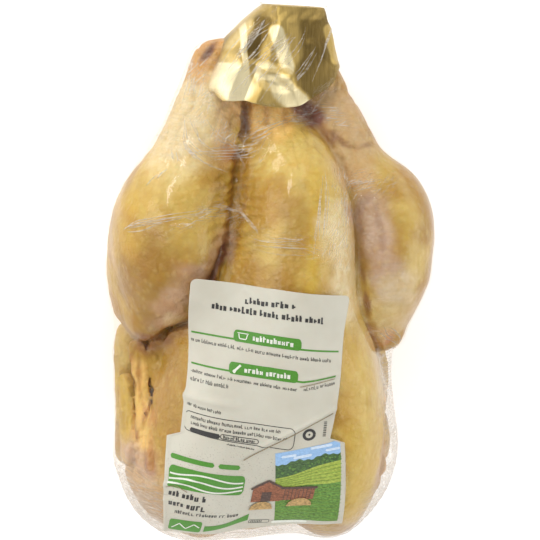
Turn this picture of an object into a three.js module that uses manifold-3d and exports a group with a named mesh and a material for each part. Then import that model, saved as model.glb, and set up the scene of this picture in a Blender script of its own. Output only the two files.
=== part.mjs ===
// A whole raw chicken in its shop pack: the bird lies on its back, breast up and legs
// towards +Y, in tight clear film. Gold foil is wrapped round the tied leg ends, and one
// die-cut paper label lies on the film over the breast and runs down over the neck end.
// Millimetres, +Z up. The origin is under the middle of the pack, on the surface it rests on.

import * as THREE from "three";
import { mergeVertices } from "three/addons/utils/BufferGeometryUtils.js";
import Module from "manifold-3d";

// ---- driving dimensions -------------------------------------------------------------

const GAP = 0.3; // clear space between two pieces that touch

// The bird's parts, each an egg (centre, half lengths along X, Y and Z, turn about Z and
// dip about X in degrees) or a limb (two ends, with the radius at each).
const TRUNK = { at: [0, -20, 43], half: [58, 112, 45] };
const SHOULDER_LEFT = { at: [-39, -100, 46], half: [34.5, 42, 42] };
const SHOULDER_RIGHT = { at: [37.5, -92, 46], half: [37, 43, 42] };
const NECK = { at: [-6, -101, 52], half: [40, 38, 37] };
const BREAST_LEFT = { at: [-23, -66, 62], half: [34, 74, 46], turn: -9 };
const BREAST_RIGHT = { at: [27, -66, 62], half: [34, 73, 46], turn: 9 };
const KEEL = { at: [5, -40, 64], half: [24, 80, 46] };
const BREAST_TIP = { at: [7, 6, 66], half: [34, 70, 41], dip: -4 };
const VENT = { from: [0, 50, 46], to: [-6, 96, 46], radii: [30, 15] };

const LEFT_LEG = {
  calf: { at: [-52.5, 13, 52], half: [31, 46, 39], turn: 9 },
  shank: { from: [-44, 46, 56], to: [-36, 103, 46], radii: [22, 11] },
  knee: { from: [-55, -8, 60], to: [-64, -27, 61], radii: [24, 10] },
  thigh: { at: [-49, 2, 34], half: [33, 52, 30], turn: -6 },
};
const RIGHT_LEG = {
  calf: { at: [56, 14, 52], half: [29, 45, 39], turn: -9 },
  shank: { from: [42, 46, 56], to: [13, 112, 47], radii: [21, 12] },
  knee: { from: [55, -8, 60], to: [61, -29, 61], radii: [24, 10] },
  thigh: { at: [49, 2, 34], half: [33, 52, 30], turn: 6 },
};
const LEFT_WING = {
  forearm: { from: [-69, -46, 34], to: [-59, -106, 32], radii: [8, 11] },
  upper: { from: [-60, -44, 48], to: [-55, -112, 42], radii: [9, 12] },
};
const RIGHT_WING = {
  forearm: { from: [63, -48, 34], to: [62, -104, 32], radii: [8, 12] },
  upper: { from: [55, -46, 48], to: [56, -108, 42], radii: [9, 12] },
};

// How far two forms flow into each other where they meet.
const FLESH = { shoulder: 24, neck: 16, muscle: 30, keel: 20, tip: 14, breast: 12, vent: 10 };
const JOIN = { leg: 14, wing: 6, limbs: 7, paper: 34 };

// The film is drawn straight over the hollows: from each knee to the wing below it, from
// the left drumstick to its hock, and from that hock to the end of the foil.
const FILM_SPANS = [
  { from: [-67, -6, 44], to: [-61, -98, 38], radii: [11, 10] },
  { from: [58, -44, 44], to: [54, -104, 42], radii: [8, 14] },
  { from: [-42, 62, 50], to: [-35, 101, 47], radii: [20, 9.5] },
  { from: [-32, 105, 47], to: [0, 122, 50], radii: [10, 9] },
];
const FILM_DRAW = 13; // how far the film rounds off the edge of a span

// The fine mesh of the film: rays fan out from a core line along the bird.
const CORE_Y = [-72, 68];
const CORE_Z = 48;
const REACH = 170;
const STATIONS = 54;
const SPOKES = 80;

// The foil: a crushed sleeve, wide at its rim over the drumsticks and pinched at its end.
const FOIL = {
  rim: { at: [-6, 93, 54], half: [35, 23] },
  end: { at: [3, 137, 52], half: [16, 13] },
  square: 0.65, // under 1 for a section with fuller corners than an ellipse
  rimDip: 5.5, // the rim hangs this much lower in front, over the bird
  rimWave: 2, // and its edge waves this much with the pleats
  rimCut: 0.36, // share of the length that is missing at the rim on the +X side
  rings: 12,
  sides: 64,
  pleats: 8,
  pleatDepth: 0.06, // as a share of the radius at the rim
  pleatFade: 0.4, // how much shallower the pleats are at the end
  pleatTwist: 0.7, // how far a pleat leans over the length, in pleats
  narrowing: 1.9, // over 1 keeps the rim half wide for longer
  crush: 0.02, // depth of the dents, as a share of the radius
};

// The label: one sheet of paper laid on the film, from its top edge on the breast down
// over the neck end. Its lower part is wider, with a small step on both sides.
const LABEL = {
  thickness: 0.5,
  lift: 0.35,
  top: { x: -10.5, y: -1.5 },
  turn: -1.5,
  upper: { from: 0, to: 75.5, left: [41, 42], right: [44, 36], rows: 16 },
  lower: { from: 78.5, to: 136, left: [51, 42], right: [44, 53], rows: 13 },
  // The paper is pinched on the +X side, so its rows don't lie level: distances down, and
  // how much a row drops there towards +X.
  slant: [[0, 0.037], [48, 0.037], [77, -0.055], [136, -0.15]],
  corner: 3,
  columns: 10,
};

const COLOUR = { film: 0xe6c98a, foil: 0xc9ad6a, paper: 0xdedace };

// ---- forms as distances -------------------------------------------------------------
// Each returns how far a point is outside a form, negative inside it.

const radians = THREE.MathUtils.degToRad;
const mix = (a, b, t) => a + (b - a) * t;

function egg([x, y, z], { at, half, turn = 0, dip = 0 }) {
  const dx = x - at[0];
  const dy = y - at[1];
  const dz = z - at[2];
  const ct = Math.cos(radians(turn));
  const st = Math.sin(radians(turn));
  const cd = Math.cos(radians(dip));
  const sd = Math.sin(radians(dip));
  const across = dx * ct + dy * st;
  const level = -dx * st + dy * ct;
  const along = level * cd + dz * sd;
  const up = -level * sd + dz * cd;
  const near = Math.hypot(across / half[0], along / half[1], up / half[2]);
  const slope = Math.hypot(across / half[0] ** 2, along / half[1] ** 2, up / half[2] ** 2);
  return (near * (near - 1)) / Math.max(slope, 1e-9);
}

function limb([x, y, z], { from, to, radii }) {
  const axis = to.map((value, i) => value - from[i]);
  const rel = [x - from[0], y - from[1], z - from[2]];
  const length2 = axis[0] ** 2 + axis[1] ** 2 + axis[2] ** 2;
  const dot = rel[0] * axis[0] + rel[1] * axis[1] + rel[2] * axis[2];
  const share = Math.min(1, Math.max(0, dot / length2));
  const off = Math.hypot(
    rel[0] - axis[0] * share,
    rel[1] - axis[1] * share,
    rel[2] - axis[2] * share,
  );
  return off - (radii[0] + (radii[1] - radii[0]) * share);
}

// Joins two distances so that the forms flow into each other over the given width.
function flow(a, b, width) {
  const share = Math.max(width - Math.abs(a - b), 0) / width;
  return Math.min(a, b) - (share * share * width) / 4;
}

function breastForm(p) {
  const muscle = flow(egg(p, BREAST_LEFT), egg(p, BREAST_RIGHT), FLESH.muscle);
  const keeled = flow(muscle, egg(p, KEEL), FLESH.keel);
  return flow(keeled, egg(p, BREAST_TIP), FLESH.tip);
}

function trunkForm(p) {
  const shoulders = flow(egg(p, SHOULDER_LEFT), egg(p, SHOULDER_RIGHT), FLESH.shoulder);
  const body = flow(egg(p, TRUNK), shoulders, FLESH.shoulder);
  const necked = flow(body, egg(p, NECK), FLESH.neck);
  const breasted = flow(necked, breastForm(p), FLESH.breast);
  return flow(breasted, limb(p, VENT), FLESH.vent);
}

function legForm(p, leg) {
  const kneed = flow(egg(p, leg.calf), limb(p, leg.knee), JOIN.leg);
  const shanked = flow(kneed, limb(p, leg.shank), JOIN.leg);
  return flow(shanked, egg(p, leg.thigh), JOIN.leg);
}

function wingForm(p, wing) {
  return flow(limb(p, wing.forearm), limb(p, wing.upper), JOIN.wing);
}

// The bird with its creases between trunk and limbs closed over the given width.
function birdForm(p, crease) {
  const limbs = [
    legForm(p, LEFT_LEG),
    legForm(p, RIGHT_LEG),
    wingForm(p, LEFT_WING),
    wingForm(p, RIGHT_WING),
  ];
  return limbs.reduce((whole, part) => flow(whole, part, crease), trunkForm(p));
}

// What is drawn over the bird, flat where the pack rests.
function coverForm(p, crease) {
  const drawn = FILM_SPANS.reduce(
    (whole, span) => flow(whole, limb(p, span), FILM_DRAW),
    birdForm(p, crease),
  );
  return Math.max(drawn, -p[2]);
}

const filmForm = (p) => coverForm(p, JOIN.limbs);
const paperForm = (p) => coverForm(p, JOIN.paper); // stiff paper bridges the creases

// ---- finding and following a form's surface -----------------------------------------

const FINE = 1e-4; // millimetres that count as nothing
const STRIDE = { share: 0.6, least: 0.2 }; // how far a ray moves on, of the distance it has left

// Comes in from outside along a ray and returns the first distance that touches the form.
function touch(form, origin, direction, reach) {
  const at = (t) => origin.map((value, i) => value + direction[i] * t);
  let outside = reach;
  let inside = 0;
  for (let t = reach; t > 0; ) {
    const distance = form(at(t));
    if (distance <= 0) {
      inside = t;
      break;
    }
    outside = t;
    t -= Math.max(distance * STRIDE.share, STRIDE.least);
  }
  while (outside - inside > FINE) {
    const middle = (outside + inside) / 2;
    if (form(at(middle)) > 0) outside = middle;
    else inside = middle;
  }
  return at((outside + inside) / 2);
}

function outwards(form, p) {
  const probe = 0.05;
  const slope = [0, 1, 2].map((axis) => {
    const ahead = [...p];
    const behind = [...p];
    ahead[axis] += probe;
    behind[axis] -= probe;
    return form(ahead) - form(behind);
  });
  return new THREE.Vector3(...slope).normalize();
}

// One step over a surface: along the given direction, then back onto the form.
function walk(form, p, heading, step) {
  const normal = outwards(form, p);
  const along = heading.clone().addScaledVector(normal, -heading.dot(normal)).normalize();
  const moved = p.map((value, i) => value + along.getComponent(i) * step);
  for (let i = 0; i < 3; i += 1) {
    const slope = outwards(form, moved);
    const off = form(moved);
    moved.forEach((value, axis) => (moved[axis] = value - slope.getComponent(axis) * off));
  }
  return moved;
}

// ---- meshes -------------------------------------------------------------------------

function geometry(points, triangles) {
  const made = new THREE.BufferGeometry();
  made.setAttribute("position", new THREE.Float32BufferAttribute(points.flat(), 3));
  made.setIndex(triangles.flat());
  return made;
}

// The triangles of closed rings, one after the other, with a single point at each end.
function ringTriangles(rings, sides) {
  const triangles = [];
  const first = 0;
  const last = 1 + rings * sides;
  const id = (ring, side) => 1 + ring * sides + (side % sides);
  for (let side = 0; side < sides; side += 1) {
    triangles.push([first, id(0, side), id(0, side + 1)]);
    triangles.push([last, id(rings - 1, side + 1), id(rings - 1, side)]);
    for (let ring = 0; ring < rings - 1; ring += 1) {
      triangles.push([id(ring, side), id(ring + 1, side), id(ring + 1, side + 1)]);
      triangles.push([id(ring, side), id(ring + 1, side + 1), id(ring, side + 1)]);
    }
  }
  return triangles;
}

// Wraps a form: rays leave a core line along Y, square to it in the middle and fanning
// round to its two ends.
function wrap(form) {
  const middle = (CORE_Y[0] + CORE_Y[1]) / 2;
  const run = (CORE_Y[1] - CORE_Y[0]) / 2;
  const ray = (angle, spoke) => {
    const origin = [0, middle + run * Math.cos(angle), CORE_Z];
    const out = Math.sin(angle);
    const direction = [out * Math.cos(spoke), Math.cos(angle), out * Math.sin(spoke)];
    return touch(form, origin, direction, REACH);
  };
  const points = [ray(0, 0)];
  for (let ring = 1; ring <= STATIONS; ring += 1) {
    const angle = (Math.PI * ring) / (STATIONS + 1);
    for (let side = 0; side < SPOKES; side += 1) {
      points.push(ray(angle, (-2 * Math.PI * side) / SPOKES));
    }
  }
  points.push(ray(Math.PI, 0));
  return geometry(points, ringTriangles(STATIONS, SPOKES));
}

const fuller = (value, power) => Math.sign(value) * Math.abs(value) ** power;

// The crushed sleeve, grown outwards by the given clearance.
function sleeve(clearance) {
  const { rim, end, square, rimDip, rimWave, rimCut, rings, sides } = FOIL;
  const { pleats, pleatDepth, pleatFade, pleatTwist, narrowing, crush } = FOIL;
  const points = [[rim.at[0], rim.at[1] - clearance, rim.at[2]]];
  for (let ring = 0; ring < rings; ring += 1) {
    for (let side = 0; side < sides; side += 1) {
      const angle = (2 * Math.PI * side) / sides;
      const start = rimCut * Math.max(Math.cos(angle), 0) ** 1.5;
      const t = mix(start, 1, ring / (rings - 1));
      const waist = t ** narrowing;
      const centre = rim.at.map((value, i) => mix(value, end.at[i], i === 0 ? waist : t));
      const shift = mix(-clearance, clearance, ring / (rings - 1));
      const wave = Math.abs((((angle * pleats) / Math.PI + pleatTwist * t) % 2) - 1) - 0.5;
      const dent = Math.sin(5 * angle + 9 * t) * Math.sin(11 * t + 2 * angle);
      const swell = 1 + pleatDepth * wave * (1 - pleatFade * t) + crush * dent;
      const across = mix(rim.half[0], end.half[0], waist) * swell + clearance;
      const up = mix(rim.half[1], end.half[1], t) * swell + clearance;
      const dip = (rimDip * Math.sin(angle) + rimWave * wave) * (1 - t);
      points.push([
        centre[0] + across * fuller(Math.cos(angle), square),
        centre[1] + shift - dip,
        centre[2] + up * fuller(Math.sin(angle), square),
      ]);
    }
  }
  points.push([end.at[0], end.at[1] + clearance, end.at[2]]);
  return geometry(points, ringTriangles(rings, sides));
}

// How far the label reaches to its left and right, this far down from its top edge.
function labelReach(down) {
  const { upper, lower, corner } = LABEL;
  const part = down < lower.from ? upper : lower;
  const share = (down - part.from) / (part.to - part.from);
  const rounding = down < corner ? corner - Math.sqrt(corner ** 2 - (corner - down) ** 2) : 0;
  return [part.left, part.right].map(([first, last]) => first + (last - first) * share - rounding);
}

// The rows of the label, as distances down from its top edge.
function labelRows() {
  const { upper, lower, corner } = LABEL;
  const evenly = (from, to, count) =>
    Array.from({ length: count + 1 }, (_, i) => from + ((to - from) * i) / count);
  return [
    ...evenly(0, corner, 3).slice(0, 3),
    ...evenly(corner, upper.to, upper.rows),
    ...evenly(lower.from, lower.to, lower.rows),
  ];
}

function slantAt(down) {
  const next = LABEL.slant.findIndex(([at]) => at >= down);
  const [start, end] = [LABEL.slant[Math.max(next - 1, 0)], LABEL.slant[next]];
  return mix(start[1], end[1], (down - start[0]) / Math.max(end[0] - start[0], FINE));
}

// Lays the label on a form: its middle line first, then each row out to both sides.
// Returns the rows of points that the paper's underside lies over.
function layLabel(form) {
  const angle = radians(LABEL.turn);
  const side = new THREE.Vector3(Math.cos(angle), Math.sin(angle), 0);
  const down = new THREE.Vector3(Math.sin(angle), -Math.cos(angle), 0);
  const start = [LABEL.top.x, LABEL.top.y, 0];
  let spot = touch(form, start, [0, 0, 1], REACH);
  let heading = down;
  let reached = 0;
  return labelRows().map((row) => {
    if (row > reached) {
      const next = walk(form, spot, heading, row - reached);
      heading = new THREE.Vector3(...next).sub(new THREE.Vector3(...spot));
      heading.addScaledVector(side, -heading.dot(side)).normalize();
      spot = next;
      reached = row;
    }
    const [left, right] = labelReach(row);
    const slant = slantAt(row);
    const across = side.clone().addScaledVector(down, slant).normalize();
    const along = down.clone().addScaledVector(side, -slant).normalize();
    const leftwards = layRow(form, spot, across.clone().negate(), along, left);
    const rightwards = layRow(form, spot, across, along, right);
    return [...leftwards.reverse(), spot, ...rightwards];
  });
}

function layRow(form, from, direction, down, reach) {
  const points = [];
  let spot = from;
  let heading = direction;
  for (let i = 0; i < LABEL.columns; i += 1) {
    const next = walk(form, spot, heading, reach / LABEL.columns);
    heading = new THREE.Vector3(...next).sub(new THREE.Vector3(...spot)).normalize();
    heading.addScaledVector(down, -heading.dot(down)).normalize();
    spot = next;
    points.push(spot);
  }
  return points;
}

// A thin closed sheet over rows of points on a form.
function sheetOver(form, rows, lift, thickness) {
  const width = rows[0].length;
  const flat = rows.flat();
  const raised = (height) =>
    flat.map((p) => {
      const normal = outwards(form, p);
      return p.map((value, i) => value + normal.getComponent(i) * height);
    });
  const points = [...raised(lift), ...raised(lift + thickness)];
  const under = (row, column) => row * width + column;
  const over = (row, column) => flat.length + row * width + column;
  const triangles = [];
  const quad = (a, b, c, d) => triangles.push([a, b, c], [a, c, d]);
  const wall = (a, b, c, d) => quad(under(a, b), under(c, d), over(c, d), over(a, b));
  for (let r = 0; r < rows.length - 1; r += 1) {
    for (let c = 0; c < width - 1; c += 1) {
      quad(over(r, c), over(r + 1, c), over(r + 1, c + 1), over(r, c + 1));
      quad(under(r, c), under(r, c + 1), under(r + 1, c + 1), under(r + 1, c));
    }
    wall(r + 1, width - 1, r, width - 1);
    wall(r, 0, r + 1, 0);
  }
  for (let c = 0; c < width - 1; c += 1) {
    wall(0, c + 1, 0, c);
    wall(rows.length - 1, c, rows.length - 1, c + 1);
  }
  return geometry(points, triangles);
}

// ---- joins and cuts -----------------------------------------------------------------

const wasm = await Module();
wasm.setup();

function solidFrom(source) {
  const merged = mergeVertices(source, FINE);
  return new wasm.Manifold(
    new wasm.Mesh({
      numProp: 3,
      vertProperties: merged.attributes.position.array,
      triVerts: new Uint32Array(merged.index.array),
    }),
  );
}

function geometryFrom(solid) {
  const mesh = solid.getMesh();
  const made = new THREE.BufferGeometry();
  made.setAttribute("position", new THREE.BufferAttribute(mesh.vertProperties, 3));
  made.setIndex(new THREE.BufferAttribute(mesh.triVerts, 1));
  return made;
}

// The body of most volume, without the scraps that a cut leaves.
function mainBody(solid) {
  return solid.decompose().reduce((most, body) => (body.volume() > most.volume() ? body : most));
}

const film = mainBody(solidFrom(wrap(filmForm)).subtract(solidFrom(sleeve(GAP))));

const pack = new THREE.Group();
function add(name, shape, colour, roughness, metalness) {
  const material = new THREE.MeshStandardMaterial({ color: colour, roughness, metalness });
  const mesh = new THREE.Mesh(shape, material);
  mesh.name = name;
  pack.add(mesh);
}
add("film_bag", geometryFrom(film), COLOUR.film, 0.25, 0);
add("leg_foil", sleeve(0), COLOUR.foil, 0.3, 1);
const paper = sheetOver(paperForm, layLabel(paperForm), LABEL.lift, LABEL.thickness);
add("label", paper, COLOUR.paper, 0.8, 0);

// Puts the origin under the middle of the pack.
const box = new THREE.Box3().setFromObject(pack);
const middle = box.getCenter(new THREE.Vector3());
pack.children.forEach((mesh) => mesh.position.set(-middle.x, -middle.y, -box.min.z));

export default pack;
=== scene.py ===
"""The looks of a whole raw chicken in its shop pack: the bird, its clear film, the gold foil
round the leg ends and the printed paper label.

Forms are drawn in millimetres in the same drawing frame as the part's source (breast up
along +Z, legs towards +Y), and metres() puts them into the pack's own frame.
"""

import math

import bpy
import numpy as np
from mathutils import Matrix, Vector


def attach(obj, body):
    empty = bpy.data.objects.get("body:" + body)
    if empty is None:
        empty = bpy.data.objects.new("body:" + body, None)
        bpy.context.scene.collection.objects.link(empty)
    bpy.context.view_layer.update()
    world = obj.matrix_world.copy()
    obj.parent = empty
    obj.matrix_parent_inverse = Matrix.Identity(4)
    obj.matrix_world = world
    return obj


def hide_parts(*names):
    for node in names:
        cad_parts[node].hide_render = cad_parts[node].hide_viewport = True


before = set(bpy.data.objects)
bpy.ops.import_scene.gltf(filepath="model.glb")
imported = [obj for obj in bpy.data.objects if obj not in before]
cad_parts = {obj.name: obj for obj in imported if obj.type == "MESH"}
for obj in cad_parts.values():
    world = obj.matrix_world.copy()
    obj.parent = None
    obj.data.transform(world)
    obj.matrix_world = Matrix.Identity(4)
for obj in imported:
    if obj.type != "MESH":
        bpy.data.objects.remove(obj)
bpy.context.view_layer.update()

# ---- driving dimensions, in millimetres ----------------------------------------------
# An egg is its middle, half sizes, and turn and dip in degrees. A limb is its two ends and
# its radius at each.

MIDDLE = np.array([0.368, -3.092, 0.0])  # the pack's middle in the drawing frame

BODY = dict(
    trunk=((0, -20, 43), (58, 112, 45)),
    left=((-39, -100, 46), (34.5, 42, 42)),
    right=((37.5, -92, 46), (37, 43, 42)),
    neck=((-6, -101, 52), (40, 38, 37)),
)
BREAST_LEFT = ((-23, -66, 62), (34, 74, 46), -9)
BREAST_RIGHT = ((27, -66, 62), (34, 73, 46), 9)
KEEL = ((5, -40, 64), (24, 80, 46))
BREAST_TIP = ((7, 6, 66), (34, 70, 41), 0, -4)
VENT = ((0, 50, 46), (-6, 96, 46), (30, 15))
LEFT_LEG = dict(
    calf=((-52.5, 13, 52), (31, 46, 39), 9),
    knee=((-55, -8, 60), (-64, -27, 61), (24, 10)),
    shank=((-44, 46, 56), (-36, 103, 46), (22, 11)),
    thigh=((-49, 2, 34), (33, 52, 30), -6),
)
RIGHT_LEG = dict(
    calf=((56, 14, 52), (29, 45, 39), -9),
    knee=((55, -8, 60), (61, -29, 61), (24, 10)),
    shank=((42, 46, 56), (13, 112, 47), (21, 12)),
    thigh=((49, 2, 34), (33, 52, 30), 6),
)
LEFT_WING = [
    ((-69, -46, 34), (-59, -106, 32), (8, 11)),
    ((-60, -44, 48), (-55, -112, 42), (9, 12)),
]
RIGHT_WING = [
    ((63, -48, 34), (62, -104, 32), (8, 12)),
    ((55, -46, 48), (56, -108, 42), (9, 12)),
]
FILM_SPANS = [
    ((-67, -6, 44), (-61, -98, 38), (11, 10)),
    ((58, -44, 44), (54, -104, 42), (8, 14)),
    ((-42, 62, 50), (-35, 101, 47), (20, 9.5)),
    ((-32, 105, 47), (0, 122, 50), (10, 9)),
]
# Over what width forms flow into each other.
FLESH = dict(shoulder=24, neck=16, muscle=30, keel=20, tip=14, breast=12, vent=10)
JOIN = dict(leg=14, wing=6, limbs=7, paper=34, film=13, foil=8)
FOIL = dict(
    rim_at=(-6, 93, 54), rim_half=(35, 23), end_at=(3, 137, 52), end_half=(16, 13),
    square=0.65, rim_dip=5.5, rim_wave=2, pleats=8, pleat_depth=0.025, pleat_fade=0.4,
    pleat_twist=0.7, narrowing=1.9, crush=0.012, rim_cut=0.36, film_off=1.2, rim_under=4,
)
LABEL = dict(
    top=(-10.5, -1.5), turn=-1.5, corner=3.0,
    upper=dict(start=0, end=75.5, left=(41, 42), right=(44, 36)),
    lower=dict(start=78.5, end=136, left=(51, 42), right=(44, 53)),
    slant=((0, 48, 77, 136), (0.037, 0.037, -0.055, -0.15)),
)

# The bird inside the film: leaner shoulders, and the folded wings and the left hock as
# separate rolls of flesh, which the film presses flat where it touches them.
LEAN_BODY = dict(
    trunk=((0, -20, 37), (57, 112, 39)),
    left=((-38.5, -97, 44), (32.5, 38, 40)),
    right=((36.5, -90, 44), (34.5, 38, 40)),
    neck=((-4, -98, 50), (38, 34, 36)),
)
LEFT_FLAP = ((-31, 58, 60), (-27.5, 94, 56), (10, 8))
LEFT_BAND = ((-46, -34, 62), (-46, -104, 68), (13, 17))
LEFT_FOLD = ((-33, 52, 65), (-35, 12, 73), (7.5, 8.5))
LEFT_HOCK = ((-38, 90, 49), (-33.5, 118, 49), (11, 9))
LEFT_CREASE = [
    (-24, 60, 70), (-25.6, 50, 75), (-26, 36, 79), (-26.5, 25, 81), (-30.6, 14, 83), (-37, -2, 86),
]
VENT_SLIT = [(-19, 90, 58), (-19, 80, 60), (-19.5, 70, 64)]
LEFT_WING_ROLLS = [
    ((-66, -40, 30), (-61, -98, 28), (12, 14)),
    ((-71, -63, 44), (-65, -98, 52), (6, 10)),
    ((-66, -42, 53), (-63, -88, 60), (7, 7)),
    ((-63, -84, 64), (-61, -102, 64), (5, 8)),
    ((-56, -28, 54), (-57, -60, 57), (10, 7)),
]
RIGHT_WING_ROLLS = [
    ((61, -50, 38), (58, -98, 46), (9, 13)),
    ((55, -48, 54), (55, -98, 62), (9, 12)),
    ((62, -42, 28), (60, -98, 28), (10, 12)),
]
# Over what width the parts that lie under the film flow, and how deep they furrow.
SOFT = dict(band=12, flap=6, fold=4, hock=5, pressed=2)
CREASE = 1.2  # for the limbs and the trunk
ROLL = 1.5  # for the folds of a wing
FURROW = dict(tip=3.0, left_leg=4.0, right_leg=2.5, wing=2.4)
FURROW_HALF = 3.0  # half width of the other furrows
FOLD_HALF = 1.9  # half width of the furrows between the folds of a wing
CLEAR = 0.7  # the film stands this far off the flesh
PRESSED = 1.8  # the flesh of the legs and between them fills the creases up to this depth
# How far the flesh draws back from the film, and the runs that it does so over.
GAP = dict(label=14, end=2.0, hock=1.0, flank=9, crease=6, vent=5)
GAP_RUN = dict(
    label=(-20, -42), end=(-92, -112), hock=(86, 98), flank_x=(-58, -64), flank_y=(10, -6),
    crease=(5.5, 1.5), vent=(4, 1),
)

# The fineness of the meshes, and the line inside the pack that the film's rays spread from.
BIRD_CELL = 1.32
BIRD_BOX = ((-90, -146, -3), (90, 134, 118))
FILM_STATIONS = 230
FILM_SPOKES = 420
CORE_Y = (-72, 68)
CORE_Z = 48
REACH = 170  # a ray starts this far out


def lengths(vectors):
    return np.linalg.norm(vectors, axis=-1, keepdims=True)


def soft_step(value, low, high):
    t = np.clip((value - low) / (high - low), 0, 1)
    return t * t * (3 - 2 * t)


def metres(points):
    return (np.asarray(points, float) - MIDDLE) / 1000


# ---- forms as distances ---------------------------------------------------------------
# Each form takes points as rows and returns how far they are outside it.


def egg(P, at, half, turn=0, dip=0):
    dx, dy, dz = (P - at).T
    ct, st = math.cos(math.radians(turn)), math.sin(math.radians(turn))
    cd, sd = math.cos(math.radians(dip)), math.sin(math.radians(dip))
    across = (dx * ct + dy * st) / half[0]
    level = -dx * st + dy * ct
    along = (level * cd + dz * sd) / half[1]
    up = (-level * sd + dz * cd) / half[2]
    near = np.sqrt(across**2 + along**2 + up**2)
    slope = np.sqrt((across / half[0]) ** 2 + (along / half[1]) ** 2 + (up / half[2]) ** 2)
    return near * (near - 1) / np.maximum(slope, 1e-9)


def limb(P, start, end, radii):
    axis = np.subtract(end, start, dtype=float)
    rel = P - start
    share = np.clip(rel @ axis / (axis @ axis), 0, 1)
    off = np.linalg.norm(rel - share[:, None] * axis, axis=1)
    return off - (radii[0] + (radii[1] - radii[0]) * share)


def flow(a, b, width):
    share = np.maximum(width - np.abs(a - b), 0) / width
    return np.minimum(a, b) - share * share * width / 4


def flow_all(forms, width):
    whole = forms[0]
    for form in forms[1:]:
        whole = flow(whole, form, width)
    return whole


def cut(a, b, width, depth, half=FURROW_HALF):
    """Two forms that press on each other, with a narrow furrow where they meet."""
    return flow(a, b, width) + depth * np.exp(-(((a - b) / half) ** 2))


def breast_form(P):
    muscle = flow(egg(P, *BREAST_LEFT), egg(P, *BREAST_RIGHT), FLESH["muscle"])
    keeled = flow(muscle, egg(P, *KEEL), FLESH["keel"])
    return flow(keeled, egg(P, *BREAST_TIP), FLESH["tip"])


def body_form(P, trunk, left, right, neck):
    shoulders = flow(egg(P, *left), egg(P, *right), FLESH["shoulder"])
    body = flow(egg(P, *trunk), shoulders, FLESH["shoulder"])
    return flow(body, egg(P, *neck), FLESH["neck"])


def leg_form(P, leg):
    forms = [egg(P, *leg["calf"]), limb(P, *leg["knee"]), limb(P, *leg["shank"])]
    return flow_all(forms + [egg(P, *leg["thigh"])], JOIN["leg"])


def rolls_form(P, rolls):
    whole = limb(P, *rolls[0])
    for roll in rolls[1:]:
        whole = cut(whole, limb(P, *roll), ROLL, FURROW["wing"], FOLD_HALF)
    return whole


def cover_form(P, crease):
    """What the film is drawn over, with the creases closed over the given width."""
    breasted = flow(body_form(P, **BODY), breast_form(P), FLESH["breast"])
    parts = [flow(breasted, limb(P, *VENT), FLESH["vent"])]
    parts += [leg_form(P, leg) for leg in (LEFT_LEG, RIGHT_LEG)]
    for wing in (LEFT_WING, RIGHT_WING):
        parts.append(flow_all([limb(P, *bone) for bone in wing], JOIN["wing"]))
    spans = [limb(P, *span) for span in FILM_SPANS]
    whole = flow_all([flow_all(parts, crease)] + spans, JOIN["film"])
    return np.maximum(whole, -P[:, 2])


def foil_section(t):
    """The foil's middle and half sizes at each share of the way from its rim to its end."""
    rim, end, rim_half, end_half = (
        np.array(FOIL[key], float) for key in ("rim_at", "end_at", "rim_half", "end_half")
    )
    shares = np.stack([t ** FOIL["narrowing"], t, t], -1)
    return rim + (end - rim) * shares, rim_half + (end_half - rim_half) * shares[..., :2]


def foil_form(P):
    rim_y, end_y = FOIL["rim_at"][1], FOIL["end_at"][1]
    middle, half = foil_section(np.clip((P[:, 1] - rim_y) / (end_y - rim_y), 0, 1))
    dx, dz = P[:, 0] - middle[:, 0], P[:, 2] - middle[:, 2]
    power = 2 / FOIL["square"]
    near = (np.abs(dx / half[:, 0]) ** power + np.abs(dz / half[:, 1]) ** power) ** (1 / power)
    round_off = np.hypot(dx, dz) * (near - 1) / np.maximum(near, 1e-6)
    side = np.clip(dx / np.maximum(np.hypot(dx, dz), 1e-6), 0, 1)
    starts = rim_y - FOIL["rim_under"] + FOIL["rim_cut"] * (end_y - rim_y) * side**1.5
    return np.maximum(round_off, np.maximum(P[:, 1] - end_y, starts - P[:, 1]))


def film_form(P):
    return flow(cover_form(P, JOIN["limbs"]), foil_form(P) - FOIL["film_off"], JOIN["foil"])


def paper_form(P):
    return cover_form(P, JOIN["paper"])


def plan(P):
    """Points as the breast side shows them, where height counts for less."""
    return P * np.array([1.0, 1.0, 0.35])


def off_spots(P, spots):
    """How far each point is from a line of spots, in as many dimensions as they have."""
    if len(spots) == 1:
        return np.linalg.norm(P - spots[0], axis=1)
    nearest = np.full(len(P), np.inf)
    for a, b in zip(spots[:-1], spots[1:]):
        axis = b - a
        share = np.clip((P - a) @ axis / (axis @ axis), 0, 1)
        nearest = np.minimum(nearest, np.linalg.norm(P - a - share[:, None] * axis, axis=1))
    return nearest


def off_line(P, line):
    return off_spots(plan(P), plan(np.array(line, float)))


def open_part(P):
    """How far the flesh draws back from the film."""
    x, y, _ = P.T
    end = soft_step(y, *GAP_RUN["end"])
    opened = GAP["label"] * soft_step(y, *GAP_RUN["label"]) * (1 - end) + GAP["end"] * end
    opened += GAP["hock"] * soft_step(y, *GAP_RUN["hock"])
    flank = soft_step(x, *GAP_RUN["flank_x"])
    opened += GAP["flank"] * flank * soft_step(y, *GAP_RUN["flank_y"]) * (1 - end)
    opened += GAP["crease"] * soft_step(off_line(P, LEFT_CREASE), *GAP_RUN["crease"])
    return opened + GAP["vent"] * soft_step(off_line(P, VENT_SLIT), *GAP_RUN["vent"])


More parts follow.
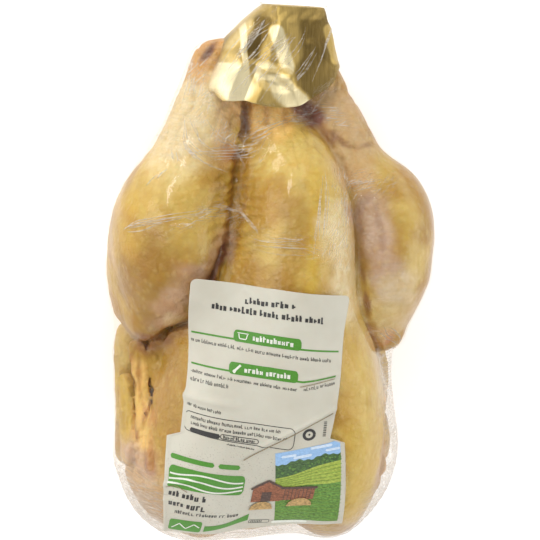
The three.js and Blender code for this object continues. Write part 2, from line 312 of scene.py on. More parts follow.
def bird_form(P):
    body = flow(body_form(P, **LEAN_BODY), limb(P, *VENT), FLESH["vent"])
    whole = cut(body, breast_form(P), CREASE, FURROW["tip"])
    whole = flow(whole, limb(P, *LEFT_BAND), SOFT["band"])
    flapped = flow(leg_form(P, LEFT_LEG), limb(P, *LEFT_FLAP), SOFT["flap"])
    flapped = flow(flapped, limb(P, *LEFT_FOLD), SOFT["fold"])
    whole = cut(whole, flapped, CREASE, FURROW["left_leg"])
    whole = cut(whole, leg_form(P, RIGHT_LEG), CREASE, FURROW["right_leg"])
    for rolls in (LEFT_WING_ROLLS, RIGHT_WING_ROLLS):
        whole = cut(whole, rolls_form(P, rolls), CREASE, FURROW["wing"])
    whole = flow(whole, limb(P, *LEFT_HOCK), SOFT["hock"])
    pressed = cover_form(P, CREASE) + PRESSED + open_part(P)
    whole = flow(whole, pressed, SOFT["pressed"])
    return np.maximum(whole, cover_form(P, JOIN["limbs"]) + CLEAR)


# ---- following forms ------------------------------------------------------------------


def normals(form, P, probe=0.05):
    slope = np.empty_like(P)
    for axis in range(3):
        step = np.zeros(3)
        step[axis] = probe
        slope[:, axis] = form(P + step) - form(P - step)
    return slope / np.maximum(lengths(slope), 1e-12)


def touch(form, origins, directions, reach=REACH):
    """Comes in along rays from outside and returns the first points on the form."""
    outside = np.full(len(origins), float(reach))
    inside = np.zeros(len(origins))
    live = np.arange(len(origins))
    t = outside.copy()
    while len(live):
        distance = form(origins[live] + directions[live] * t[live, None])
        hit = (distance <= 0) | (t[live] <= 0)
        inside[live[hit]] = np.maximum(t[live[hit]], 0)
        live, distance = live[~hit], distance[~hit]
        outside[live] = t[live]
        t[live] -= np.maximum(distance * 0.6, 0.25)
    for _ in range(12):
        middle = (outside + inside) / 2
        out = form(origins + directions * middle[:, None]) > 0
        outside = np.where(out, middle, outside)
        inside = np.where(out, inside, middle)
    return origins + directions * ((outside + inside) / 2)[:, None]


def walk(form, P, heading, step):
    normal = normals(form, P)
    along = heading - (heading * normal).sum(1, keepdims=True) * normal
    moved = P + along / lengths(along) * step
    for _ in range(2):
        moved = moved - normals(form, moved) * form(moved)[:, None]
    return moved


def waves(P, wavelength, seed, count=10):
    """A smooth random field of about unit size, the same for the same seed."""
    draw = np.random.default_rng(seed)
    total = np.zeros(len(P))
    for _ in range(count):
        k = draw.normal(size=3)
        k *= 2 * math.pi / (np.linalg.norm(k) * wavelength * draw.uniform(0.65, 1.5))
        total += np.sin(P @ k + draw.uniform(0, 2 * math.pi))
    return total / math.sqrt(count / 2)


def facets(P, wavelength, seed, count=7):
    """Flat faces with sharp edges between them, as in crumpled foil."""
    draw = np.random.default_rng(seed)
    total = np.zeros(len(P))
    for _ in range(count):
        k = draw.normal(size=3)
        k /= np.linalg.norm(k) * wavelength * draw.uniform(0.6, 1.6)
        turn = (P @ k + draw.uniform()) % 1
        total += np.abs(turn - 0.5) * 4 - 1
    return total / math.sqrt(count)


# ---- meshes ---------------------------------------------------------------------------

SCENE = bpy.context.scene


def add(name, data):
    made = bpy.data.objects.new(name, data)
    SCENE.collection.objects.link(made)
    return made


def piece(name, points, faces, material, replaced):
    mesh = bpy.data.meshes.new(name)
    mesh.from_pydata(metres(points).tolist(), [], [list(map(int, f)) for f in faces])
    mesh.update()
    mesh.polygons.foreach_set("use_smooth", [True] * len(mesh.polygons))
    mesh.materials.append(material)
    made = add(name, mesh)
    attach(made, "root")
    if replaced:
        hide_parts(replaced)
    return made


def store(made, name, values):
    """Keeps one number or colour for each vertex, for the material to read."""
    values = np.asarray(values, float)
    if values.ndim == 1:
        layer = made.data.attributes.new(name, "FLOAT", "POINT")
        layer.data.foreach_set("value", values)
    else:
        layer = made.data.color_attributes.new(name, "FLOAT_COLOR", "POINT")
        rgba = np.concatenate([values, np.ones((len(values), 1))], 1)
        layer.data.foreach_set("color", rgba.ravel())


def nets(form, low, high, cell):
    """A closed quad mesh of a form's surface, one point for each cell that it crosses."""
    axes = [np.arange(a, b + cell, cell) for a, b in zip(low, high)]
    shape = tuple(len(axis) for axis in axes)
    values = np.empty(shape)
    for i, x in enumerate(axes[0]):
        y, z = np.meshgrid(axes[1], axes[2], indexing="ij")
        slab = np.stack([np.full(y.size, x), y.ravel(), z.ravel()], 1)
        values[i] = form(slab).reshape(y.shape)
    origin = np.array([axis[0] for axis in axes])
    cells = tuple(n - 1 for n in shape)
    total, count = np.zeros(cells + (3,)), np.zeros(cells)
    corners = [(i, j, k) for i in (0, 1) for j in (0, 1) for k in (0, 1)]
    part = {c: values[tuple(slice(o, o + n) for o, n in zip(c, cells))] for c in corners}
    for a in corners:
        for axis in range(3):
            if a[axis]:
                continue
            b = tuple(1 if i == axis else a[i] for i in range(3))
            crossed = (part[a] < 0) != (part[b] < 0)
            share = np.where(crossed, part[a] / np.where(crossed, part[a] - part[b], 1), 0)
            spot = np.zeros(cells + (3,))
            spot[...] = a
            spot[..., axis] = share
            total += spot * crossed[..., None]
            count += crossed
    live = count > 0
    ids = np.full(cells, -1)
    ids[live] = np.arange(live.sum())
    base = np.stack(np.nonzero(live), 1)
    points = origin + cell * (base + total[live] / count[live][:, None])
    quads = []
    inside = values < 0
    for axis in range(3):
        b, c = (axis + 1) % 3, (axis + 2) % 3
        lead = [slice(None)] * 3
        tail = [slice(None)] * 3
        lead[axis], tail[axis] = slice(0, -1), slice(1, None)
        near, far = inside[tuple(lead)], inside[tuple(tail)]
        spots = np.stack(np.nonzero(near != far), 1)
        step_b, step_c = np.eye(3, dtype=int)[b], np.eye(3, dtype=int)[c]
        ring = [spots - step_b - step_c, spots - step_c, spots, spots - step_b]
        quad = np.stack([ids[tuple(r.T)] for r in ring], 1)
        leaving = near[tuple(spots.T)]
        quad[~leaving] = quad[~leaving][:, ::-1]
        quads.append(quad)
    return points, np.concatenate(quads)


def raise_by(form, points, relief, foot):
    """Moves points off a form by a relief, and flattens them where the pack rests."""
    raised = points + normals(form, points) * relief(points)[:, None]
    raised[:, 2] = np.maximum(raised[:, 2], foot)
    return raised


def settle(form, points, rounds=2):
    """Moves points that are close to a form onto it."""
    for _ in range(rounds):
        points = points - normals(form, points) * np.clip(form(points), -0.4, 0.4)[:, None]
    return points


def ring_faces(rings, sides):
    """Faces between closed rings of points, with one point that closes each end."""
    ring, side = np.meshgrid(np.arange(rings - 1), np.arange(sides), indexing="ij")
    ring, side = ring.ravel(), side.ravel()
    here, beside = 1 + ring * sides + side, 1 + ring * sides + (side + 1) % sides
    faces = np.stack([here, here + sides, beside + sides, beside], 1).tolist()
    last = 1 + rings * sides
    for i in range(sides):
        j = (i + 1) % sides
        faces.append([0, 1 + i, 1 + j])
        faces.append([last, last - sides + j, last - sides + i])
    return faces


def grid_faces(rows, columns, base=0):
    r, c = np.meshgrid(np.arange(rows - 1), np.arange(columns - 1), indexing="ij")
    i = base + r.ravel() * columns + c.ravel()
    return np.stack([i, i + columns, i + columns + 1, i + 1], 1).tolist()


def wrap(form, stations, spokes):
    """A form's surface met by rays that spread from a line along its core."""
    middle, run = (CORE_Y[0] + CORE_Y[1]) / 2, (CORE_Y[1] - CORE_Y[0]) / 2
    angles = math.pi * np.arange(1, stations + 1) / (stations + 1)
    turns = -2 * math.pi * np.arange(spokes) / spokes
    a, s = (grid.ravel() for grid in np.meshgrid(angles, turns, indexing="ij"))
    a, s = np.concatenate([[0], a, [math.pi]]), np.concatenate([[0], s, [0]])
    zero = np.zeros(len(a))
    origins = np.stack([zero, middle + run * np.cos(a), zero + CORE_Z], 1)
    directions = np.stack([np.sin(a) * np.cos(s), np.cos(a), np.sin(a) * np.sin(s)], 1)
    return touch(form, origins, directions), ring_faces(stations, spokes)


# ---- materials ------------------------------------------------------------------------


class Shader:
    """A node material, built one node at a time."""

    def __init__(self, name):
        self.material = bpy.data.materials.new(name)
        self.material.use_nodes = True
        self.tree = self.material.node_tree
        self.tree.nodes.clear()

    def node(self, kind, inputs=None, **settings):
        made = self.tree.nodes.new("ShaderNode" + kind)
        for key, value in settings.items():
            setattr(made, key, value)
        for key, value in (inputs or {}).items():
            if isinstance(value, bpy.types.NodeSocket):
                self.tree.links.new(value, made.inputs[key])
            else:
                made.inputs[key].default_value = value
        return made

    def maths(self, operation, a, b=0.0, clamp=False):
        made = self.node("Math", {0: a, 1: b}, operation=operation, use_clamp=clamp)
        return made.outputs[0]

    def times(self, a, b):
        return self.maths("MULTIPLY", a, b)

    def plus(self, a, b, clamp=False):
        return self.maths("ADD", a, b, clamp)

    def stored(self, name, output="Fac"):
        return self.node("Attribute", attribute_name=name).outputs[output]

    def mapped(self, vector, **settings):
        return self.node("Mapping", {"Vector": vector, **settings}).outputs[0]

    def facing(self):
        return self.node("LayerWeight", {"Blend": 0.5}).outputs["Facing"]

    def shader(self, kind, **inputs):
        named = {key.replace("_", " "): value for key, value in inputs.items()}
        return self.node("Bsdf" + kind, named).outputs[0]

    def blend(self, share, a, b):
        return self.node("MixShader", {0: share, 1: a, 2: b}).outputs[0]

    def mix(self, share, a, b, blend="MIX"):
        made = self.node("Mix", data_type="RGBA", blend_type=blend)
        for index, value in ((0, share), (6, a), (7, b)):
            if isinstance(value, bpy.types.NodeSocket):
                self.tree.links.new(value, made.inputs[index])
            else:
                made.inputs[index].default_value = value
        return made.outputs[2]

    def ramp(self, value, low, high):
        made = self.node("MapRange", {"Value": value, "From Min": low, "From Max": high})
        return made.outputs[0]

    def place(self):
        return self.node("TexCoord").outputs["Object"]

    def noise(self, scale, detail=2.0, rough=0.5, vector=None):
        vector = vector or self.place()
        made = self.node(
            "TexNoise",
            {"Vector": vector, "Scale": scale, "Detail": detail, "Roughness": rough},
        )
        return made.outputs[0]

    def stretched(self, scale, turn=(0, 0, 0)):
        return self.mapped(self.place(), Scale=scale, Rotation=turn)

    def streaks(self, turn, fineness):
        """Fine streaks, 1 on a streak and 0 off it, along the film's own streak direction."""
        turned = self.mapped(self.stored("streak", "Vector"), Rotation=(0, 0, turn))
        drawn = self.mapped(turned, Scale=(0.10, fineness, 1.0))
        return self.ramp(self.noise(1.0, 4, 0.6, drawn), 0.54, 0.66)

    def bump(self, height, distance, strength=1.0, normal=None):
        inputs = {"Height": height, "Distance": distance, "Strength": strength}
        if normal is not None:
            inputs["Normal"] = normal
        return self.node("Bump", inputs).outputs[0]

    def finish(self, shader):
        self.node("OutputMaterial", {"Surface": shader})
        return self.material


def rgb(red, green, blue):
    return (red, green, blue, 1.0)


def skin_material():
    s = Shader("raw_skin")
    broad = s.ramp(s.noise(75, 3, 0.6), 0.35, 0.65)
    patch = s.ramp(s.noise(210, 3, 0.55), 0.35, 0.65)
    fine = s.ramp(s.noise(650, 4, 0.65), 0.25, 0.75)
    pores = s.node("TexVoronoi", {"Vector": s.place(), "Scale": 230.0}).outputs["Distance"]
    goose = s.ramp(pores, 0.45, 0.05)
    shade = s.stored("tint", "Color")
    layers = [
        (broad, 0.50, rgb(0.62, 0.50, 0.44), "SOFT_LIGHT"),
        (patch, 0.60, rgb(0.88, 0.75, 0.48), "MULTIPLY"),
        (fine, 0.38, rgb(0.86, 0.76, 0.56), "MULTIPLY"),
        (goose, 0.15, rgb(0.84, 0.64, 0.22), "MIX"),
        # painted shade: the skin darkens and browns where it turns away from the view
        (s.maths("POWER", s.facing(), 2.2), 0.75, rgb(0.66, 0.50, 0.30), "MULTIPLY"),
    ]
    for share, strength, colour, blend in layers:
        shade = s.mix(s.times(share, strength), shade, colour, blend)
    grain = s.bump(fine, 0.0002, 0.5)
    rough = s.bump(patch, 0.0009, 0.5, grain)
    body = s.shader(
        "Principled",
        Base_Color=shade,
        Roughness=0.45,
        Subsurface_Weight=0.20,
        Subsurface_Radius=(1.0, 0.55, 0.25),
        Subsurface_Scale=0.003,
        Normal=s.bump(goose, 0.0006, 0.6, rough),
    )
    return s.finish(body)


def film_material(name):
    s = Shader(name)
    soft = s.noise(1.0, 2, 0.5, s.stretched((90, 60, 80)))
    crinkle = s.noise(1.0, 4, 0.6, s.stretched((90, 420, 300), (0.1, 0.2, 0.15)))
    crinkled = s.bump(crinkle, 0.0002, 0.3, s.bump(soft, 0.0008, 0.4))
    fine = s.maths("MAXIMUM", s.streaks(0.22, 1.5), s.streaks(-0.30, 1.1))
    web = s.times(fine, s.stored("crinkle"))
    pinched = s.bump(web, 0.0003, 0.6, crinkled)
    mirror = s.shader("Glossy", Color=rgb(1, 1, 1), Roughness=0.09, Normal=pinched)
    clear = s.shader("Transparent", Color=rgb(0.985, 0.98, 0.97))
    edge = s.plus(s.times(s.maths("POWER", s.facing(), 5.0), 0.80), 0.016)
    bare = s.blend(edge, clear, mirror)
    # The cloud's colour: grey off the streaks, which darkens the milky film as shade behind it would
    # and is painted shade, and near white on the crinkle streaks, which is painted glint.
    grey_shade_and_glint = s.mix(web, rgb(0.74, 0.69, 0.62), rgb(0.96, 0.94, 0.91))
    cloud = s.blend(0.4, s.shader("Diffuse", Color=grey_shade_and_glint), s.shader("Translucent", Color=grey_shade_and_glint))
    rows = s.noise(1.0, 4, 0.65, s.stretched((45, 800, 130), (0, 0, 0.06)))
    # How much of the cloud shows: the milky film, and on the pinched folds their painted glint; the
    # crinkle streaks add painted glints of their own.
    milk_and_pinch_glint = s.times(s.stored("milk_and_glint"), s.plus(s.ramp(rows, 0.35, 0.75), 0.35))
    wear_milk_and_glint = s.plus(milk_and_pinch_glint, s.times(web, 0.62), True)
    return s.finish(s.blend(wear_milk_and_glint, bare, cloud))


def foil_material():
    s = Shader("gold_foil")
    lines = s.noise(1.0, 4, 0.65, s.stretched((1300, 60, 500), (0, 0, 0.12)))
    dents = s.noise(150, 3, 0.5)
    # The gold's base colour is painted reflection: dark olive where it stands in for the dark that
    # the foil reflects, gold between, cream where it stands in for reflected light; the brushed
    # lines run through it.
    reflection_and_lines = s.plus(s.stored("painted_reflection"), s.times(s.maths("SUBTRACT", lines, 0.5), 0.35))
    lower = s.mix(s.ramp(reflection_and_lines, 0.0, 0.5), rgb(0.17, 0.110, 0.028), rgb(0.56, 0.405, 0.135))
    body = s.shader(
        "Principled",
        Base_Color=s.mix(s.ramp(reflection_and_lines, 0.5, 1.0), lower, rgb(0.93, 0.83, 0.54)),
        Metallic=1.0,
        Roughness=s.plus(s.times(lines, 0.12), 0.45),
        Normal=s.bump(dents, 0.0008, 0.10, s.bump(lines, 0.0002, 0.20)),
    )
    return s.finish(body)


def paper_material():
    s = Shader("label_paper")
    cloudy = s.ramp(s.noise(60, 3, 0.5), 0.3, 0.7)
    flecks = s.ramp(s.noise(1500, 2, 0.5), 0.63, 0.72)
    base = s.mix(cloudy, rgb(0.57, 0.535, 0.435), rgb(0.63, 0.60, 0.50))
    body = s.shader(
        "Principled",
        Base_Color=s.mix(s.times(flecks, s.stored("recycled")), base, rgb(0.34, 0.30, 0.24)),
        Roughness=0.62,
        Subsurface_Weight=0.05,
        Subsurface_Scale=0.001,
        Normal=s.bump(s.noise(900, 5, 0.65), 0.00006, 0.6),
    )
    return s.finish(body)


def ink_material(name, colour, mottle):
    s = Shader(name)

    def toned(factor, added):
        return tuple(min(1.0, c * factor + added) for c in colour[:3]) + (1.0,)

    if mottle:
        spots = s.ramp(s.noise(750, 5, 0.7, s.stretched((1.0, 1.8, 1.0))), 0.36, 0.64)
        shade = s.mix(spots, toned(1 - mottle, 0), toned(1 + mottle, 0.02))
    else:
        wear_milk_and_glint = s.ramp(s.noise(1300, 4, 0.6), 0.30, 0.75)
        shade = s.mix(s.times(wear_milk_and_glint, 0.6), colour, toned(1.35, 0.03))
    relief = s.bump(s.noise(900, 4, 0.6), 0.00005, 0.5)
    return s.finish(s.shader("Principled", Base_Color=shade, Roughness=0.5, Normal=relief))


# ---- the bird -------------------------------------------------------------------------

GOLD = (0.475, 0.285, 0.024)
DEEP_GOLD = (0.345, 0.190, 0.014)
BRIGHT = (0.64, 0.44, 0.040)
PALE_GOLD = (0.74, 0.58, 0.17)
CREAM = (0.84, 0.73, 0.46)
TAN = (0.66, 0.47, 0.25)
PINK = (0.54, 0.34, 0.20)
LILAC = (0.60, 0.43, 0.33)
FAT = (0.98, 0.67, 0.24)
ORANGE = (0.50, 0.24, 0.045)
RUST = (0.62, 0.33, 0.05)
# The next two browns are painted shade: they darken slits, creases and grooves, and the skin under
# the left knee and under the breast tip.
SHADE_BROWN = (0.27, 0.11, 0.03)
SHADE_DARK = (0.17, 0.055, 0.016)
RED = (0.52, 0.13, 0.075)
BLOOD = (0.24, 0.075, 0.05)
PURPLE = (0.11, 0.03, 0.04)

# Colour laid along a line over the skin: its points, half width, colour, how strong it is
# and how deep the skin folds in along it. Most strokes are the skin's own colours; the ones
# marked below paint shade or a highlight into it.
STROKES = [
    ([(4, 66, 80), (12, 58, 86), (18, 40, 94)], 20, PALE_GOLD, 0.8, 0),
    ([(2, 40, 96), (0, 24, 103), (-2, 6, 108), (0, -60, 110)], 8, DEEP_GOLD, 0.5, 0),
    ([(12, 54, 92), (11, 24, 103), (9, 0, 107)], 4, BRIGHT, 0.6, 0),
    ([(-22, 48, 82), (-18, 30, 92), (-20, 4, 98)], 6, DEEP_GOLD, 0.3, 0),
    ([(24, 30, 98), (29, 8, 96), (34, -8, 98)], 12, CREAM, 0.9, 0),
    ([(36, -30, 100), (40, -70, 100), (40, -110, 88)], 12, BRIGHT, 0.6, 0),
    ([(-64, 16, 78), (-60, 0, 82)], 13, DEEP_GOLD, 0.85, 0),
    ([(-80, 34, 60), (-80, 4, 60)], 9, BRIGHT, 0.6, 0),
    # painted shade: the lower part of the left lobe, towards the knee, darkened
    ([(-72, 0, 72), (-68, -14, 72), (-62, -26, 70)], 12, DEEP_GOLD, 0.85, 0),
    ([(-50, 2, 90), (-54, -12, 84), (-60, -24, 76)], 9, PINK, 0.85, 0),
    ([(-57, -24, 80), (-47, -26, 81)], 4, CREAM, 0.5, 0),
    ([(-31, 19, 83), (-36, 9, 86), (-41, -1, 88)], 7, PINK, 0.85, 0),
    ([(42, 37, 83), (47, 22, 88), (52, 9, 90), (58, 0, 90)], 11, LILAC, 0.85, 0),
    # painted highlight: a pale band along the right lobe's outer edge
    ([(61, 52, 75), (69, 30, 85), (66, -3, 87)], 4.5, CREAM, 0.25, 0),
    ([(41, 43, 80), (38, 36, 81)], 3.5, PURPLE, 0.25, 0),
    ([(40.6, 14, 86), (42, 6, 87)], 4, PURPLE, 0.2, 0),
    ([(50, -28, 78), (57, -30, 76)], 6, RED, 1.0, 0),
    ([(-56, 62, 58), (-50, 82, 60), (-44, 98, 60)], 18, CREAM, 0.9, 0),
    ([(-30, 62, 68), (-28, 90, 64)], 7, TAN, 0.7, 0),
    ([(26, 86, 68), (36, 68, 74), (34, 56, 78)], 13, TAN, 0.9, 0),
    ([(-14, 82, 66), (2, 92, 64)], 14, FAT, 1.0, 0),
    ([(-10, 96, 60), (-10, 78, 68)], 1.8, ORANGE, 0.6, 0.8),
    ([(-2, 96, 60), (0, 80, 68)], 1.8, ORANGE, 0.5, 0.8),
    ([(-48, 106, 56), (-41, 108, 59), (-36, 118, 56)], 9, RUST, 1.0, 0),
    ([(-40, 98, 62)], 4, CREAM, 0.4, 0),
    ([(-27.7, 59.6, 71)], 6, ORANGE, 0.9, 0),
    ([(-75, -62, 46), (-72, -92, 56)], 8, BRIGHT, 0.95, 0),
    ([(-56, -44, 66), (-54, -100, 86)], 8, GOLD, 0.9, 0),
    ([(-66, -104, 54), (-54, -122, 60), (-20, -130, 70)], 18, TAN, 1.0, 0),
    ([(44, -124, 66), (66, -104, 60)], 14, TAN, 0.7, 0),
    ([(-67, -52, 58), (-65, -90, 66)], 6, FAT, 0.6, 0),
    ([(-69, -96, 62), (-64, -104, 70)], 6, LILAC, 0.8, 0),
    ([(-62, -94, 74), (-61, -100, 76)], 4, BLOOD, 0.5, 0),
    # partly the red of the meat under the left knee, partly painted shadow under the knee
    ([(-65, -40, 61), (-60, -38, 68)], 7, BLOOD, 0.55, 0),
    ([(-51, -50, 74), (-50, -104, 86)], 8, DEEP_GOLD, 0.35, 0),
    ([(62, -63, 73), (59, -90, 83)], 7, FAT, 0.6, 0),
    ([(46, -26, 92), (51, -70, 92), (46, -112, 86)], 14, PALE_GOLD, 0.75, 0),
    ([(62, -2, 84), (58, -20, 80)], 12, CREAM, 0.5, 0),
    ([(62, 36, 77), (68, 14, 80)], 9, PALE_GOLD, 0.5, 0),
    ([(56, -42, 80), (58, -88, 80)], 4, BRIGHT, 0.8, 0),
    ([(-54, 46, 80), (-44, 30, 84), (-50, 22, 86)], 13, PALE_GOLD, 0.5, 0),
    ([(62, -80, 74), (60, -104, 80)], 6, PINK, 0.6, 0),
    ([(10, 96, 62), (5, 92, 62), (14, 80, 68)], 7, BLOOD, 0.95, 0),
    ([(20, 74, 70), (24, 71, 70)], 4, BLOOD, 0.6, 0),
    # painted shade: the vent slit, the hock slit, the left leg's crease and its run under the knee,
    # the right leg's crease line, the shadow under the left knee and the shadow under the breast tip
    (VENT_SLIT, 2.6, SHADE_DARK, 1.0, 2.0),
    ([(-44, 107, 58), (-40.5, 111, 58), (-36, 117, 56)], 1.8, SHADE_DARK, 1.0, 2.2),
    (LEFT_CREASE, 1.9, SHADE_DARK, 0.9, 1.6),
    ([(-29, 17, 83), (-37, -2, 86), (-43, -18, 84)], 3.2, SHADE_DARK, 0.9, 1.0),
    ([(29, 62, 76), (34, 48, 79), (38, 18, 85), (42, -3, 87), (47, -21, 82)], 1.6, SHADE_BROWN, 0.8, 0.6),
    ([(-68, -37, 62), (-58, -35, 70), (-47, -28, 79)], 4.5, SHADE_BROWN, 0.5, 0),
    ([(24, 74, 70), (30, 69, 72), (38, 67, 73), (46, 70, 70)], 1.9, SHADE_BROWN, 0.75, 1.6),
    ([(46, 40, 82), (48, 27, 87), (50, 18, 90)], 2.0, PURPLE, 0.2, 0.7),
    # painted shade in the deepest groove between the left wing's folds
    ([(-72, -57, 52), (-69, -61, 55), (-70, -70, 55), (-67.5, -88, 66)], 1.9, SHADE_BROWN, 0.9, 2.2),
    ([(-67.5, -88, 66), (-65.7, -80, 66), (-63.5, -74, 66)], 1.7, ORANGE, 0.9, 1.6),
    ([(-63.5, -74, 66), (-65.6, -66, 59), (-66.8, -56, 57), (-67, -44, 59)], 1.7, ORANGE, 0.85, 1.8),
    ([(-63.5, -74, 66), (-61.7, -85, 74), (-61, -100, 76)], 1.8, ORANGE, 0.7, 1.2),
    ([(-72, -57, 52), (-71, -48, 54), (-69, -42, 57)], 1.7, ORANGE, 0.8, 1.4),
    ([(-60.5, -44, 64), (-61, -66, 68), (-61, -80, 74)], 1.8, ORANGE, 0.8, 1.4),
]
# The small ripples beside the left leg's crease, and the depth of the other wrinkles.
RIPPLE_LINE = [(-24, 60, 71), (-25.6, 42, 78), (-26, 22, 82)]
RIPPLE_PERIOD = 5.3
RIPPLE_DEPTH = 1.3
RIPPLE_LEAN = 0.33
SHANK_WRINKLE = 1.1
WING_WRINKLE = 0.75
LUMP_DEPTH = 0.32
BIRD_FOOT = 0.4  # the flat film lies this far under the flesh


def shown(P):
    """1 on the breast side and 0 on the back."""
    return soft_step(P[:, 2], 30, 46)


def toward(colour, shade, share):
    return colour + (np.array(shade) - colour) * share


def skin_colour(P):
    wander = waves(P, 16, 11)
    back = soft_step(P[:, 2], 40, 18)[:, None]
    blotch = soft_step(waves(P, 34, 5), -0.2, 1.5)[:, None]
    rosy = soft_step(waves(P, 30, 6), 0.5, 1.8)[:, None] * back
    colour = np.repeat(np.array([GOLD]), len(P), 0)
    for shade, share in ((PALE_GOLD, blotch * 0.55), (CREAM, back * 0.35), (PINK, rosy * 0.6)):
        colour = toward(colour, shade, share)
    for line, half, shade, strength, _ in STROKES:
        near = off_line(P, line) + wander * min(2.0, 0.22 * half)
        share = soft_step(near, half * 1.3, half * 0.4) * strength * shown(P)
        colour = toward(colour, shade, share[:, None])
    return colour


def skin_relief(P):
    sunk = np.zeros(len(P))
    for line, half, _, _, depth in STROKES:
        if depth:
            share = np.exp(-((off_line(P, line) / (half * 0.6)) ** 2))
            sunk += depth * share * shown(P)
    crease = off_line(P, RIPPLE_LINE)
    across = P[:, 1] - RIPPLE_LEAN * P[:, 0] + 0.8 * waves(P, 22, 3)
    ripple = 0.5 - 0.5 * np.sin(2 * math.pi * across / RIPPLE_PERIOD)
    sunk += RIPPLE_DEPTH * ripple * soft_step(crease, 18, 7) * shown(P)
    shank = soft_step(P[:, 1], 56, 72) * shown(P)
    draped = np.abs(waves(P * np.array([1.0, 0.6, 0.8]), 17, 23))
    sunk += SHANK_WRINKLE * shank * soft_step(draped, 0.45, 0.0)
    lumpy = 0.5 + 0.25 * waves(P, 7, 21)
    wing = soft_step(P[:, 1], -36, -46) * soft_step(np.abs(P[:, 0]), 52, 60)
    folds = np.abs(waves(P * np.array([1.0, 0.35, 1.0]), 7, 22))
    return -(sunk + LUMP_DEPTH * lumpy + WING_WRINKLE * wing * soft_step(folds, 0.5, 0.0))


def make_bird(material):
    points, faces = nets(bird_form, *BIRD_BOX, BIRD_CELL)
    points = raise_by(bird_form, settle(bird_form, points), skin_relief, BIRD_FOOT)
    made = piece("bird_skin", points, faces, material, "film_bag")
    store(made, "tint", skin_colour(points))


# ---- the film -------------------------------------------------------------------------

# Where the film is milky, and where it is crinkled: points, half width and how much. The
# last number of a crinkled place is the angle that its streaks run at, in degrees.
HAZES = [
    ([(-44, 104, 58), (-50, 88, 60), (-54, 70, 62)], 15, 0.20),
    ([(-32, 92, 64), (-34, 70, 70)], 9, 0.12),
    ([(24, 90, 66), (38, 72, 72)], 10, 0.12),
    ([(44, 36, 83), (52, 9, 90), (58, -2, 90)], 13, 0.10),
    ([(-46, 14, 88), (-50, -14, 86)], 12, 0.05),
    ([(64, -50, 66), (68, -96, 60)], 11, 0.48),
]
CRINKLES = [
    ([(-70, 22, 70), (-52, 27, 82), (-38, 34, 84), (-26, 32, 84)], 4.5, 1.0, 9),
    ([(-36, 74, 64), (-28, 66, 70), (-18, 66, 74)], 8, 1.0, 48),
    ([(29, 50, 88), (30, 36, 92), (22, 18, 99)], 9, 0.9, 66),
    ([(-15, 22, 97), (14, 20, 103), (26, 18, 100)], 6, 0.55, -4),
    ([(2, 82, 70), (14, 86, 69), (28, 82, 68)], 5, 1.0, 14),
    ([(34, 51, 79), (54, 50, 78)], 6, 0.7, 28),
    ([(-22, 70, 68), (2, 82, 70)], 3, 0.9, 34),
    ([(-46, 102, 60), (-42, 82, 66)], 7, 0.7, 62),
    ([(-58, 66, 62), (-46, 94, 62)], 12, 0.20, 50),
    ([(60, -62, 74), (62, -100, 72)], 8, 0.55, 24),
    ([(48, -24, 76), (64, -34, 66)], 5, 0.8, -22),
    ([(-72, -104, 50), (-58, -118, 66), (-40, -128, 70)], 12, 0.5, -18),
    ([(44, -124, 70), (64, -100, 64)], 11, 0.45, 24),
]


MOST_HAZE = 0.6
FILM_ROW = 4.4  # from one small fold of the slack corners to the next
FILM_ROW_DEPTH = 0.22
STREAK_APART = 7.0  # sets the streaks of one crinkled place apart from the next one's


def along_lines(P, lines):
    """The largest share that any of the lines gives at each point, and which line it is."""
    most, which = np.zeros(len(P)), np.zeros(len(P), int)
    wander = waves(P, 9, 33)
    for i, (line, half, share, *_) in enumerate(lines):
        near = off_line(P, line) + 0.2 * half * wander
        part = share * soft_step(near, half * 1.3, half * 0.3) * shown(P)
        which = np.where(part > most, i, which)
        most = np.maximum(most, part)
    return most, which


def film_haze(P):
    """Where the film is stretched or slack enough to look milky."""
    x, y, _ = P.T
    left = soft_step(y, -98, -118) * soft_step(x, -44, -62)
    right = soft_step(y, -96, -116) * soft_step(x, 40, 60)
    end = soft_step(y, -118, -136)
    side = soft_step(y, -28, -44) * soft_step(np.abs(x), 66, 76)
    ends = np.clip(0.50 * left + 0.50 * right + 0.45 * end + 0.12 * side, 0, MOST_HAZE)
    return np.maximum(ends, along_lines(P, HAZES)[0])


def film_relief(P):
    x, y, _ = P.T
    tight = 0.10 * waves(P * np.array([1.0, 0.6, 1.0]), 16, 31)
    corner = soft_step(y, -88, -108) * soft_step(np.abs(x), 34, 54)
    wander = 1.6 * waves(P, 24, 32)
    rows = np.sin(2 * math.pi * (y + 0.25 * np.abs(x) + wander) / FILM_ROW)
    return tight + FILM_ROW_DEPTH * corner * rows


def make_film(material):
    points, faces = wrap(film_form, FILM_STATIONS, FILM_SPOKES)
    points = raise_by(film_form, points, film_relief, 0.0)
    made = piece("clear_film", points, faces, material, "film_bag")
    store(made, "milk_and_glint", film_haze(points))
    most, which = along_lines(points, CRINKLES)
    angle = np.radians([crinkle[3] for crinkle in CRINKLES])[which]
    x, y, _ = points.T
    along = x * np.cos(angle) + y * np.sin(angle)
    across = y * np.cos(angle) - x * np.sin(angle)
    store(made, "crinkle", most)
    store(made, "streak", np.stack([along, across, which * STREAK_APART], 1))


